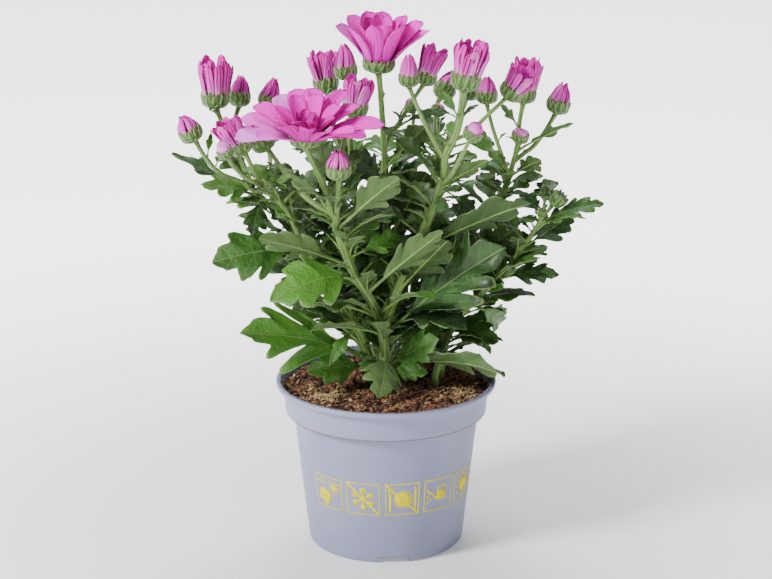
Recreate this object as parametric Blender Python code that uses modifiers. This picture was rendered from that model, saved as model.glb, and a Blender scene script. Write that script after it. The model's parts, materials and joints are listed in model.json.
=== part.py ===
"""A potted Indian chrysanthemum: nursery pot, peat soil, nine leafy shoots and the petals of each head.

Units are metres and +Z is up. The origin lies on the pot's axis at the surface it stands on, and -Y is
the front. The plan of the plant is written in millimetres, as it was measured, and scaled when it is read.
Each shoot is one piece: its stem, side stalks, leaves and green flower cups are grown together. The
petals of a head are a piece of their own, which sits in the shoot's cup.
"""
import math
import random
from typing import NamedTuple

import bmesh
import bpy
from mathutils import Matrix, Vector
from mathutils.bvhtree import BVHTree

MM = 0.001
GAP = 0.3 * MM

# Pot, in metres
RIM_RADIUS = 0.060
RIM_HEIGHT = 0.092
BAND_RADIUS = 0.0554
BAND_DEPTH = 0.0177
LEDGE_RADIUS = 0.0503
BASE_RADIUS = 0.0424
WALL = 0.0012
FLOOR_HEIGHT = 0.0052
FOOT_WIDTH = 0.0016
NOTCH_COUNT = 3
NOTCH_SIZE = (0.012, 0.017, 0.0080)
NOTCH_TURN = math.radians(-84.5)
DRAIN_COUNT = 5
DRAIN_RADIUS = 0.0045
DRAIN_RING = 0.027
POT_STEPS = 24

# Soil, in metres
SOIL_HEIGHT = 0.0885
SOIL_MOUND = 0.0025
SOIL_STEPS = 16
ROOT_DEPTH = 0.022
HOLE_SIDES = 6

# Leaves, in metres unless a fraction of the blade's length
BLADE_THICKNESS = 0.0007
RIB_THICKNESS = 0.0010
PETIOLE_THICKNESS = 0.0018
PETIOLE_HALF_WIDTH = 0.0010
CLEARANCE = 0.0008
SWING_STEP = math.radians(8)
LIFT_STEP = math.radians(7)
SWING_TRIES = 6
SHRINKS = (1.0, 0.84, 0.7, 0.56)

# A half outline runs from the blade's foot to its tip. Each point gives how far along the blade it is,
# how far out, and the place on the midrib that its side vein leaves from.
LOBED = ((0.16, 0.09, 0.12), (0.46, 0.31, 0.12), (0.43, 0.15, 0.38), (0.74, 0.27, 0.38),
         (0.76, 0.13, 0.60))
DEEP = ((0.12, 0.05, 0.04), (0.66, 0.38, 0.04), (0.46, 0.12, 0.38), (0.80, 0.28, 0.38),
        (0.76, 0.12, 0.62))
PLAIN = ((0.18, 0.10, 0.14), (0.50, 0.31, 0.14), (0.50, 0.15, 0.46), (0.80, 0.22, 0.46))
SLIM = ((0.50, 0.18, 0.22), (0.58, 0.11, 0.50))

# Petals, in metres
PETAL_THICKNESS = 0.0007
CUP_WALL = 0.0008
PETAL_DROOP = 0.25
PETAL_ROLL = 0.42
HALF_PETALS = 5
HALF_RISE = math.radians(72)
HALF_WIDTH = 0.0064
HALF_ROLL = 0.45

# Layers of petals of the two open blooms, from the outside in: how many, how far out they are rooted as a
# share of the cup, their rise in degrees, how much less the ones at the sides rise, length share, width in mm
LAYERS = {
    "bloom_front": ((8, 0.66, 19, 8, 0.97, 12.0), (8, 0.56, 27, 9, 0.92, 11.0), (3, 0.34, 58, 6, 0.62, 7.0)),
    "bloom_top": ((7, 0.66, 57, 4, 0.95, 10.0), (6, 0.54, 69, 4, 0.95, 9.5), (2, 0.30, 79, 3, 0.82, 7.0)),
}

UP = (0, 0, 1)
FRONT = (0, -1, 0.5)
BACK = (0, 1, 0.5)
UP_AXIS = Vector(UP)


class Head(NamedTuple):
    """A flower head: its name, stage, the way it faces, its cup's radius and its whole length in mm."""
    name: str
    stage: str
    aim: tuple
    radius: float
    length: float


class Stalk(NamedTuple):
    """A stem or side stalk: its axis from root to head, its radii at both ends, in mm, and its head."""
    points: tuple
    root: float
    end: float
    head: Head = None


class Leaf(NamedTuple):
    """A leaf: base and tip in mm, where its upper side faces, outline, arch, fold and width."""
    base: tuple
    tip: tuple
    face: tuple = UP
    outline: tuple = LOBED
    arch: float = 0.10
    fold: float = 0.16
    width: float = 1.0


class Fill(NamedTuple):
    """Leaves set round a stem in turn: how many, heights in mm, first bearing and sweep in degrees."""
    count: int
    low: float
    high: float
    bearing: float
    sweep: float


SHOOTS = {
    "shoot_front": (
        (Stalk(((-1, -10, 96), (-3, -15, 129), (-17, -26, 159), (-26, -36, 187), (-31, -41, 207),
                (-41, -47, 232)), 2.9, 1.5, Head("bloom_front", "bloom", (0, -2, 20), 8.0, 33)),
         Stalk(((-26, -36, 187), (-25, -44, 200), (-24, -50, 216)), 1.3, 1.1,
               Head("bud_round", "bud", (-0.5, -3, 16), 6.2, 16)),
         Stalk(((-25, -35, 184), (-24, -26, 201), (-23, -18, 222), (-21, -13, 230), (-17, -9, 239)),
               1.3, 1.0, Head("half_inner", "half", (4, -1, 22), 6.6, 22)),
         Stalk(((-29, -38, 194), (-41, -32, 201), (-50, -25, 209), (-58, -16, 218), (-62, -12, 222)),
               1.5, 1.1, Head("half_under", "half", (-10, 2, 16), 6.4, 19))),
        (Leaf((-18, -24, 152), (-63, -58, 151), (-0.3, -1, 0.7), arch=0.22, width=1.25),
         Leaf((-19, -27, 163), (-66, -48, 184), BACK, arch=0.04, width=0.8),
         Leaf((-6, -15, 132), (-52, -38, 147), UP, arch=0.06, width=0.9),
         Leaf((-25, -36, 185), (7, -62, 219), BACK, arch=0.04, width=0.8),
         Leaf((-11, -21, 146), (29, -50, 188), BACK, arch=0.02, width=0.55),
         Leaf((0, -11, 108), (-2, -42, 95), (0.3, 1, 1), arch=0.2, width=1.7),
         Leaf((-20, -29, 168), (8, -14, 176), FRONT, width=0.9),
         Leaf((-31, -41, 205), (-36, -12, 230), FRONT, arch=0.05),
         Leaf((-28, -36, 189), (-50, -50, 200), UP, SLIM)),
        (Fill(3, 120, 190, 20, 70),)),
    "shoot_left_front": (
        (Stalk(((-7, -3, 98), (-15, -9, 122), (-31, -17, 149), (-42, -22, 170), (-52, -26, 193),
                (-64, -28, 206), (-73, -28, 224)), 2.4, 1.1,
               Head("half_left", "half", (-11.5, -3, 19), 6.0, 21)),
         Stalk(((-64, -28, 206), (-73, -34, 213), (-78, -39, 219), (-81, -41, 225)), 1.2, 0.9,
               Head("button_left", "button", (-4, -3, 9), 4.2, 10)),
         Stalk(((-57, -27, 199), (-60, -12, 207), (-62, 4, 216), (-63, 16, 229), (-64, 20, 238)),
               1.2, 1.0, Head("bud_middle_left", "bud", (5, 0, 17), 5.6, 17))),
        (Leaf((-8, -5, 102), (-76, -45, 131), (-0.2, -1, 1.1), DEEP, width=0.8),
         Leaf((-8, 0, 102), (-42, -22, 105), FRONT, width=1.1),
         Leaf((-16, -9, 125), (-30, -28, 108), FRONT, SLIM, arch=0.2),
         Leaf((-27, -15, 143), (-48, 20, 120), UP, arch=0.15),
         Leaf((-48, -25, 184), (-54, 0, 212), BACK, arch=0.04)),
        (Fill(3, 115, 180, 95, 50),)),
    "shoot_left": (
        (Stalk(((-9, 6, 99), (-30, -2, 145), (-50, -6, 175), (-71, -8, 200), (-87, -11, 209),
                (-95, -12, 218), (-100, -12, 227)), 2.6, 1.1,
               Head("bud_far_left", "bud", (-7.4, -1, 14), 6.1, 15.5)),
         Stalk(((-71, -8, 200), (-76, -2, 212), (-80, 2, 219), (-84, 4, 226), (-88, 5, 235),
                (-90, 5, 241)), 1.6, 1.2, Head("half_tall_left", "half", (-0.5, -2, 27), 7.4, 27)),
         Stalk(((-83, 4, 224), (-81, 14, 232), (-79, 22, 238)), 1.2, 1.1,
               Head("bud_behind_left", "bud", (1, 4, 16), 5.8, 17))),
        (Leaf((-43, -4, 165), (-91, -30, 166), (-0.2, -1, 0.6), arch=0.16, width=1.25),
         Leaf((-65, -8, 194), (-95, -25, 206), (0, -0.6, 1), width=1.1),
         Leaf((-66, -8, 194), (-70, -34, 181), (0, -1, 0.4), arch=0.12, width=1.1),
         Leaf((-72, -8, 201), (-113, -5, 219), (0, -0.2, 1), SLIM, arch=-0.03),
         Leaf((-94, -12, 217), (-92, -6, 230), FRONT, SLIM)),
        (Fill(3, 118, 180, 100, 45),)),
    "shoot_centre": (
        (Stalk(((0, -2, 96), (0, -6, 121), (5, -11, 142), (16, -18, 170), (29, -25, 206),
                (31, -27, 222), (37, -27, 236), (40, -27, 257)), 2.9, 1.6,
               Head("half_right_centre", "half", (4.5, -1, 26), 7.6, 26.5)),
         Stalk(((30, -27, 221), (21, -18, 236), (15, -10, 248), (12, -8, 255)), 1.3, 1.0,
               Head("bud_centre", "bud", (0, 0, 17), 5.3, 17.4)),
         Stalk(((29, -25, 206), (33, -32, 212), (38, -40, 224), (43, -44, 235)), 1.2, 0.9,
               Head("button_right", "button", (4, -4, 10), 4.9, 11)),
         Stalk(((36, -27, 231), (44, -22, 234), (52, -14, 240), (63, -8, 249)), 1.2, 1.0,
               Head("half_leaning", "half", (11, -3, 15.5), 6.2, 18))),
        (Leaf((1, -6, 119), (63, -34, 175), (-0.2, -1, 0.8), DEEP, arch=0.06, width=0.85),
         Leaf((5, -11, 143), (42, -38, 170), BACK, arch=0.03, width=0.9),
         Leaf((16, -18, 168), (81, -30, 192), (-0.1, 0.7, 1), arch=0.03, width=0.8),
         Leaf((1, -2, 99), (29, -28, 123), (-0.3, -1, 0.6), arch=0.05, width=1.1),
         Leaf((0, -4, 98), (54, -58, 119), (0, 0.8, 0.8), arch=0.08, width=0.8),
         Leaf((1, 0, 98), (25, -14, 105), FRONT, arch=0.12),
         Leaf((29, -25, 205), (53, -40, 223), BACK, SLIM, arch=0.03),
         Leaf((28, -25, 205), (46, -14, 189), FRONT, arch=0.12, width=0.9),
         Leaf((29, -25, 206), (-3, -6, 233), UP, SLIM, arch=0.08),
         Leaf((37, -27, 242), (26, -36, 260), FRONT, SLIM),
         Leaf((35, -27, 226), (58, -4, 224), FRONT, arch=0.14)),
        (Fill(4, 112, 190, 30, 60),)),
    "shoot_top": (
        (Stalk(((2, 14, 96), (2, 22, 129), (0, 22, 178), (-1, 14, 216), (-3, 6, 250), (-4, 5, 260)),
               2.5, 1.4, Head("bloom_top", "bloom", (1, -1, 20), 8.4, 26)),
         Stalk(((-1, 14, 216), (2, 16, 223), (7, 17, 230), (14, 17, 242), (20, 17, 251)), 1.3, 1.0,
               Head("half_centre", "half", (7, 0, 21), 5.6, 23)),
         Stalk(((-1, 19, 194), (6, 30, 206), (14, 38, 221), (15, 40, 231)), 1.1, 0.9,
               Head("button_behind", "button", (-3, 3, 8), 3.6, 8))),
        (Leaf((6, 17, 228), (34, 6, 238), (0.1, -0.8, 1), SLIM),
         Leaf((-2, 17, 205), (20, 2, 232), BACK, arch=0.04),
         Leaf((-1, 18, 196), (-20, -4, 219), FRONT, arch=0.08),
         Leaf((1, 24, 161), (22, 10, 205), BACK, arch=0.03, width=1.25),
         Leaf((-2, 17, 200), (-40, 4, 205), FRONT, arch=0.1)),
        (Fill(5, 108, 190, 60, 90),)),
    "shoot_back_left": (
        (Stalk(((-5, 22, 95), (-13, 38, 153), (-19, 34, 206), (-19, 24, 230), (-21, 16, 254)), 2.4, 1.1,
               Head("bud_back", "bud", (-1.6, 0, 19.5), 6.0, 19.5)),
         Stalk(((-17, 35, 191), (-24, 41, 209), (-30, 42, 226), (-32, 38, 242)), 1.3, 1.1,
               Head("half_back", "half", (-3, 1, 24), 6.8, 24))),
        (),
        (Fill(7, 112, 212, 60, 110),)),
    "shoot_right": (
        (Stalk(((30, 4, 98), (33, 6, 127), (45, 6, 154), (57, 3, 178), (66, -3, 208), (70, -6, 225)),
               2.5, 1.2, Head("button_low", "button", (1.5, -2, 7), 4.4, 7.5)),
         Stalk(((68, -4, 214), (73, -3, 218), (78, 0, 221), (84, 3, 228), (90, 5, 238)), 1.3, 1.1,
               Head("bud_far_right", "bud", (4.7, 0, 17.4), 6.1, 17.4)),
         Stalk(((67, -4, 212), (70, 6, 220), (71, 11, 230), (73, 12, 242)), 1.3, 1.1,
               Head("half_right", "half", (2, 1, 25), 6.4, 25)),
         Stalk(((65, -2, 206), (62, 8, 214), (57, 16, 228), (54, 20, 240)), 1.2, 1.0,
               Head("bud_right", "bud", (0, 0, 15), 5.6, 15))),
        (Leaf((70, -6, 220), (99, -14, 236), (0, 0.6, 1), SLIM, arch=0.03),
         Leaf((65, -3, 206), (81, -14, 217), (0.3, 1, 0.6), arch=0.02, width=1.3),
         Leaf((63, -1, 199), (79, -22, 210), (0, -0.5, 1)),
         Leaf((65, -2, 203), (50, -16, 212), (0, -0.5, 1)),
         Leaf((71, 10, 229), (60, 2, 244), FRONT, SLIM),
         Leaf((45, 6, 154), (70, -14, 180), (0.2, 1, 0.4), width=1.1),
         Leaf((38, 6, 140), (35, -8, 174), FRONT, width=1.1),
         Leaf((33, 6, 120), (57, -22, 118), (0, -1, 0.7), arch=0.15, width=1.1),
         Leaf((33, 6, 120), (20, -20, 122), (0, -1, 0.7), arch=0.12)),
        (Fill(4, 115, 190, 50, 70),)),
    "shoot_low_right": (
        (Stalk(((27, -9, 98), (36, -10, 124), (46, -12, 138), (65, -15, 159), (82, -18, 186),
                (88, -18, 194)), 2.1, 0.8, Head("green_round", "green", (3.5, -1, 4), 4.2, 8)),
         Stalk(((81, -18, 184), (83, -15, 190), (84, -14, 197)), 0.9, 0.7,
               Head("green_oval", "green", (0, 0, 1), 2.2, 6)),
         Stalk(((81, -18, 184), (81, -21, 186), (82, -23, 189)), 0.9, 0.7,
               Head("green_small", "green", (0, -0.4, 1), 2.2, 4))),
        (Leaf((59, -14, 151), (92, -28, 158), (0, -1, 0.9), width=0.8),
         Leaf((73, -16, 167), (102, -8, 185), (0.2, -1, 0.6), width=1.1),
         Leaf((82, -18, 184), (112, -18, 202), (0, -0.8, 1), width=0.8),
         Leaf((41, -11, 132), (63, -20, 136), UP, SLIM),
         Leaf((46, -12, 138), (62, 10, 116), FRONT)),
        (Fill(1, 125, 165, 20, 50),)),
    "shoot_back_right": (
        (Stalk(((10, 24, 98), (19, 48, 151), (28, 52, 196), (28, 50, 230), (30, 50, 237)), 2.4, 1.2,
               Head("bud_facing_back", "bud", (7, 8, 12), 6.0, 17)),
         Stalk(((28, 52, 198), (35, 50, 216), (42, 45, 231), (44, 43, 238)), 1.2, 1.0,
               Head("bud_hidden", "bud", (4, 5, 8), 5.2, 13)),
         Stalk(((29, 52, 211), (27, 43, 222), (27, 36, 230)), 1.0, 0.8,
               Head("button_back", "button", (3, 3, 6), 3.8, 7))),
        (),
        (Fill(7, 112, 212, 50, 120),)),
}

PALETTE = {
    "pot": (0.40, 0.42, 0.52, 1.0, 0.45),
    "soil": (0.05, 0.025, 0.015, 1.0, 0.95),
    "shoot": (0.06, 0.20, 0.03, 1.0, 0.55),
    "petals": (0.80, 0.10, 0.55, 1.0, 0.50),
}


def material(kind):
    """Return the Principled BSDF material for one kind of piece, made on its first use."""
    if kind in bpy.data.materials:
        return bpy.data.materials[kind]
    surface = bpy.data.materials.new(kind)
    surface.use_nodes = True
    shader = surface.node_tree.nodes["Principled BSDF"]
    shader.inputs["Base Color"].default_value = PALETTE[kind][:4]
    shader.inputs["Roughness"].default_value = PALETTE[kind][4]
    shader.inputs["Metallic"].default_value = 0.0
    return surface


def collection(name):
    """Return a new collection linked to the scene."""
    group = bpy.data.collections.new(name)
    bpy.context.scene.collection.children.link(group)
    return group


def add_object(name, mesh, group):
    """Link a new object that shows the mesh in a collection."""
    piece = bpy.data.objects.new(name, mesh)
    group.objects.link(piece)
    return piece


def solid(name, points, faces, group):
    """Make an object of a closed triangle mesh from its points and faces, with the faces turned outwards."""
    mesh = bpy.data.meshes.new(name)
    mesh.from_pydata([tuple(point) for point in points], [], faces)
    body = bmesh.new()
    body.from_mesh(mesh)
    bmesh.ops.triangulate(body, faces=body.faces[:])
    bmesh.ops.recalc_face_normals(body, faces=body.faces[:])
    body.to_mesh(mesh)
    body.free()
    return add_object(name, mesh, group)


def evaluated_mesh(piece):
    """Return a new mesh of the object as its modifiers leave it."""
    graph = bpy.context.evaluated_depsgraph_get()
    return bpy.data.meshes.new_from_object(piece.evaluated_get(graph))


def drop(piece):
    """Remove an object that has served its purpose."""
    bpy.data.objects.remove(piece, do_unlink=True)


def bake(piece):
    """Replace an object's mesh by the evaluated one and clear its modifiers."""
    mesh = evaluated_mesh(piece)
    piece.modifiers.clear()
    piece.data = mesh


def boolean(piece, operation, others, solver="EXACT"):
    """Cut or join a piece with every object of a collection, and apply it."""
    joint = piece.modifiers.new(operation.lower(), "BOOLEAN")
    joint.operation = operation
    joint.operand_type = "COLLECTION"
    joint.collection = others
    joint.solver = solver
    bake(piece)


def fuse(name, members, kind, parts):
    """Join closed members into one body, named and placed in the parts collection."""
    group = collection(name + "_members")
    base = members[0]
    for member in members[1:]:
        for holder in list(member.users_collection):
            holder.objects.unlink(member)
        group.objects.link(member)
    if len(members) > 1:
        boolean(base, "UNION", group, "MANIFOLD")
    for member in members[1:]:
        drop(member)
    bpy.data.collections.remove(group)
    base.name = name
    base.data.name = name
    base.data.materials.clear()
    base.data.materials.append(material(kind))
    for holder in list(base.users_collection):
        holder.objects.unlink(base)
    parts.objects.link(base)
    return base


def turned(name, profile, steps, group):
    """Turn a profile of (radius, height) points, listed down the outer side, round the Z axis."""
    mesh = bpy.data.meshes.new(name)
    edges = [(index, index + 1) for index in range(len(profile) - 1)]
    mesh.from_pydata([(radius, 0.0, height) for radius, height in profile], edges, [])
    piece = add_object(name, mesh, group)
    screw = piece.modifiers.new("turn", "SCREW")
    screw.axis = "Z"
    screw.steps = steps
    screw.render_steps = steps
    screw.use_merge_vertices = True
    screw.merge_threshold = 0.00001
    screw.use_smooth_shade = True
    bake(piece)
    return piece


def pot_profile():
    """Return the pot's outer side from the lip down and its inner side back up, as (radius, height)."""
    band_low = RIM_HEIGHT - BAND_DEPTH
    outer = [(RIM_RADIUS - 0.0014, RIM_HEIGHT), (RIM_RADIUS, RIM_HEIGHT - 0.0014),
             (RIM_RADIUS - 0.0010, RIM_HEIGHT - 0.0036), (BAND_RADIUS + 0.0003, RIM_HEIGHT - 0.0068),
             (BAND_RADIUS - 0.0010, band_low + 0.0010), (LEDGE_RADIUS + 0.0003, band_low - 0.0004),
             (BASE_RADIUS, 0.0022), (BASE_RADIUS - 0.0016, 0.0)]
    foot = BASE_RADIUS - 0.0016 - FOOT_WIDTH
    under = [(foot, 0.0), (foot, FLOOR_HEIGHT), (0.0, FLOOR_HEIGHT)]
    floor = FLOOR_HEIGHT + WALL
    inner = [(0.0, floor), (BASE_RADIUS - WALL, floor), (LEDGE_RADIUS - WALL, band_low - 0.0008),
             (BAND_RADIUS - 0.0012 - WALL, band_low + 0.0014), (BAND_RADIUS - WALL, RIM_HEIGHT - 0.0072),
             (RIM_RADIUS - 0.0026, RIM_HEIGHT - 0.0010), (RIM_RADIUS - 0.0014, RIM_HEIGHT)]
    return outer + under + inner


def make_pot(parts):
    """Make the pot: a turned shell with notches in its foot ring and drain holes in its raised floor."""
    pot = turned("pot", pot_profile(), POT_STEPS, parts)
    cutters = collection("pot_cutters")
    for index in range(NOTCH_COUNT):
        bearing = NOTCH_TURN + math.tau * index / NOTCH_COUNT
        reach = BASE_RADIUS - 0.002
        place = (reach * math.cos(bearing), reach * math.sin(bearing), 0.0)
        bpy.ops.mesh.primitive_cube_add(size=1.0, location=place, rotation=(0.0, 0.0, bearing))
        cutter = bpy.context.object
        cutter.scale = NOTCH_SIZE
        claim_cutter(cutter, cutters)
    for index in range(DRAIN_COUNT):
        bearing = NOTCH_TURN + math.tau * (index + 0.5) / DRAIN_COUNT
        place = (DRAIN_RING * math.cos(bearing), DRAIN_RING * math.sin(bearing), FLOOR_HEIGHT + WALL / 2)
        bpy.ops.mesh.primitive_cylinder_add(vertices=6, radius=DRAIN_RADIUS, depth=4 * WALL, location=place)
        claim_cutter(bpy.context.object, cutters)
    bpy.context.view_layer.update()
    boolean(pot, "DIFFERENCE", cutters)
    for cutter in list(cutters.objects):
        drop(cutter)
    bpy.data.collections.remove(cutters)
    pot.data.materials.clear()
    pot.data.materials.append(material("pot"))
    return pot


def claim_cutter(cutter, group):
    """Move a cutting shape to its collection and hide it from the model."""
    for holder in list(cutter.users_collection):
        holder.objects.unlink(cutter)
    group.objects.link(cutter)
    cutter.hide_render = True
    cutter.display_type = "WIRE"


def soil_profile():
    """Return the soil's profile: mounded top, then down inside the pot's flat-sided wall with a gap to it."""
    band_low = RIM_HEIGHT - BAND_DEPTH
    floor = FLOOR_HEIGHT + WALL + GAP
    top = [(0.0, SOIL_HEIGHT), (0.017, SOIL_HEIGHT), (0.032, SOIL_HEIGHT), (0.045, SOIL_HEIGHT)]
    wall = [(BAND_RADIUS + WALL, SOIL_HEIGHT), (BAND_RADIUS, RIM_HEIGHT - 0.0074),
            (BAND_RADIUS - 0.0014, band_low + 0.0016), (LEDGE_RADIUS - 0.0001, band_low - 0.0010),
            (BASE_RADIUS - 0.0001, floor)]
    flat = math.cos(math.pi / POT_STEPS)
    side = [((radius - WALL) * flat - GAP, height) for radius, height in wall]
    return top + side + [(0.0, floor)]


def soil_top(x, y):
    """Return the height of the soil's surface at a place: a low mound with crumbly waves."""
    radius = min(math.hypot(x, y) / BAND_RADIUS, 1.0)
    waves = math.sin(190 * x + 1.3) * math.cos(160 * y - 0.6) + 0.6 * math.sin(310 * (x + y))
    return SOIL_HEIGHT + SOIL_MOUND * (1 - radius * radius) + 0.0008 * waves * (1 - radius ** 4)


def make_soil(parts):
    """Make the soil that fills the pot, with a plain hole for each shoot's stem."""
    soil = turned("soil", soil_profile(), SOIL_STEPS, parts)
    for vertex in soil.data.vertices:
        x, y, z = vertex.co
        if z > SOIL_HEIGHT - 0.0001:
            vertex.co.z = soil_top(x, y)
    cutters = collection("soil_cutters")
    for stalks, _leaves, _fills in SHOOTS.values():
        x, y, _z = stalks[0].points[0]
        radius = (stalks[0].root * MM + GAP + 0.0002) / math.cos(math.pi / HOLE_SIDES)
        low = SOIL_HEIGHT - ROOT_DEPTH - GAP
        depth = 0.03 + ROOT_DEPTH
        place = (x * MM, y * MM, low + depth / 2)
        bpy.ops.mesh.primitive_cylinder_add(vertices=HOLE_SIDES, radius=radius, depth=depth, location=place)
        claim_cutter(bpy.context.object, cutters)
    bpy.context.view_layer.update()
    boolean(soil, "DIFFERENCE", cutters)
    for cutter in list(cutters.objects):
        drop(cutter)
    bpy.data.collections.remove(cutters)
    soil.data.materials.clear()
    soil.data.materials.append(material("soil"))
    return soil


def stalk_path(stalk, rooted):
    """Return a stalk's axis in metres, run straight down into the soil where it is a shoot's stem."""
    path = [Vector(point) * MM for point in stalk.points]
    if rooted:
        x, y, _z = path[0]
        path = [Vector((x, y, SOIL_HEIGHT - ROOT_DEPTH)), Vector((x, y, SOIL_HEIGHT + 0.003))] + path
    return path


def make_stalk(name, stalk, rooted, group):
    """Make a stalk as a tapering tube with filled ends."""
    path = stalk_path(stalk, rooted)
    curve = bpy.data.curves.new(name, "CURVE")
    curve.dimensions = "3D"
    curve.bevel_depth = 1.0
    curve.bevel_resolution = 1 if rooted else 0
    curve.use_fill_caps = True
    spline = curve.splines.new("POLY")
    spline.points.add(len(path) - 1)
    for index, place in enumerate(path):
        share = index / (len(path) - 1)
        spline.points[index].co = (*place, 1.0)
        spline.points[index].radius = (stalk.root + (stalk.end - stalk.root) * share) * MM
    guide = add_object(name, curve, group)
    mesh = evaluated_mesh(guide)
    drop(guide)
    body = bmesh.new()
    body.from_mesh(mesh)
    bmesh.ops.remove_doubles(body, verts=body.verts[:], dist=0.000001)
    bmesh.ops.triangulate(body, faces=body.faces[:])
    bmesh.ops.recalc_face_normals(body, faces=body.faces[:])
    body.to_mesh(mesh)
    body.free()
    return add_object(name, mesh, group)


def head_frame(head, foot):
    """Return the matrix that sets a head, built upright at the origin, on its stalk's end."""
    return Matrix.Translation(foot) @ Vector(head.aim).to_track_quat("Z", "Y").to_matrix().to_4x4()


def ring(count, radius, heights, flute=0.0, turn=0.0):
    """Return a ring of points whose odd ones lie further in by flute and may have their own height."""
    points = []
    for index in range(count):
        angle = turn + math.tau * index / count
        odd = index % 2
        reach = radius * (1 - flute * odd)
        points.append(Vector((reach * math.cos(angle), reach * math.sin(angle), heights[odd])))
    return points


def lofted(name, rings, low, high, frame, group):
    """Close a stack of equal rings with a point below and a point above, and set it by a matrix."""
    count = len(rings[0])
    points = [low] + [point for level in rings for point in level] + [high]
    last = len(points) - 1
    faces = []
    for index in range(count):
        after = (index + 1) % count
        faces.append((0, 1 + after, 1 + index))
        faces.append((last, last - count + index, last - count + after))
        for level in range(len(rings) - 1):
            start = 1 + level * count
            faces.append((start + index, start + after, start + count + after))
            faces.append((start + index, start + count + after, start + count + index))
    return solid(name, [frame @ point for point in points], faces, group)


def cup_height(head):
    """Return the height of a head's green cup in metres."""
    share = {"bloom": 0.80, "half": 1.15, "bud": 1.15, "button": 1.20, "green": 1.6}[head.stage]
    return share * head.radius * MM


def make_cup(head, frame, group):
    """Make the green cup of bracts under a head, with pointed tips and a hollow for the petals."""
    radius = head.radius * MM
    height = cup_height(head)
    sides = 10 if head.stage == "bloom" else 8
    low = Vector((0, 0, -0.0004))
    if head.stage == "green":
        tall = head.length * MM
        rings = [ring(sides, 0.75 * radius, (0.15 * tall, 0.15 * tall)),
                 ring(sides, radius, (0.5 * tall, 0.5 * tall)),
                 ring(sides, 0.6 * radius, (0.85 * tall, 0.85 * tall))]
        return lofted(head.name + "_cup", rings, low, UP_AXIS * tall, frame, group)
    pit = 0.34 * height
    rings = [ring(sides, 0.84 * radius, (0.24 * height, 0.24 * height)),
             ring(sides, radius, (height, 0.72 * height)),
             ring(sides, 0.84 * radius - CUP_WALL, (pit, pit))]
    return lofted(head.name + "_cup", rings, low, UP_AXIS * pit, frame, group)


def make_core(head, frame, group):
    """Make the closed middle of a head: young petals raised as flutes, which end in pointed tips."""
    radius = head.radius * MM - 1.5 * GAP
    height = cup_height(head)
    foot = 0.34 * height + GAP
    low_radius = 0.84 * head.radius * MM - CUP_WALL - 2 * GAP
    reach = head.length * MM
    count = 10 if head.stage == "bloom" else 8
    rings = [ring(count, low_radius, (foot, foot))]
    if head.stage == "bloom":
        top = height + 0.004
        rings += [ring(count, radius, (height, height), 0.05),
                  ring(count, 0.7 * radius, (top, top - 0.001), 0.10)]
    elif head.stage == "button":
        top = 0.92 * reach
        rings += [ring(count, radius, (0.9 * height, 0.9 * height), 0.04),
                  ring(count, 0.62 * radius, (0.94 * reach, 0.86 * reach), 0.10)]
    elif head.stage == "half":
        top = 0.7 * reach
        rings += [ring(count, radius, (height, height), 0.05),
                  ring(count, 0.62 * radius, (0.78 * reach, 0.70 * reach), 0.20)]
    else:
        top = 0.86 * reach
        waist = height + 0.32 * (reach - height)
        rings += [ring(count, radius, (height, height), 0.05),
                  ring(count, 0.98 * radius, (waist, waist), 0.12),
                  ring(count, 0.42 * radius, (reach, 0.90 * reach), 0.22)]
    return lofted(head.name + "_core", rings, UP_AXIS * foot, UP_AXIS * top, frame, group)


def make_petal(name, foot, bearing, rise, droop, roll, length, width, frame, group):
    """Make one petal: a strip that leaves the head at an angle, bends to its tip and is rolled sideways."""
    out = Vector((math.cos(bearing), math.sin(bearing), 0.0))
    side = Vector((-math.sin(bearing), math.cos(bearing), 0.0))
    place = foot.copy()
    rows = []
    previous = 0.0
    for share, spread in ((0.0, 0.30), (0.55, 1.0), (0.88, 0.78), (1.0, 0.0)):
        angle = rise - droop * (previous + share) / 2
        place = place + (out * math.cos(angle) + UP_AXIS * math.sin(angle)) * (share - previous) * length
        angle = rise - droop * share
        normal = UP_AXIS * math.cos(angle) - out * math.sin(angle)
        previous = share
        turned_side = side * math.cos(roll) + normal * math.sin(roll)
        turned_normal = normal * math.cos(roll) - side * math.sin(roll)
        rows.append((place.copy(), turned_side * spread * width / 2, turned_normal * PETAL_THICKNESS / 2))
    points = []
    for centre, half, lift in rows[:-1]:
        for sign in (-1, 1):
            points += [centre + half * sign - lift, centre + half * sign + lift]
    centre, _half, lift = rows[-1]
    points += [centre - lift, centre + lift]
    faces = [(0, 1, 3, 2)]
    for row in range(2):
        low = 4 * row
        faces += [(low, low + 2, low + 6), (low, low + 6, low + 4)]
        faces += [(low + 1, low + 7, low + 3), (low + 1, low + 5, low + 7)]
        faces += [(low, low + 4, low + 5, low + 1), (low + 2, low + 3, low + 7, low + 6)]
    faces += [(8, 10, 12), (9, 13, 11), (8, 12, 13, 9), (10, 11, 13, 12)]
    return solid(name, [frame @ point for point in points], faces, group)


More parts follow.
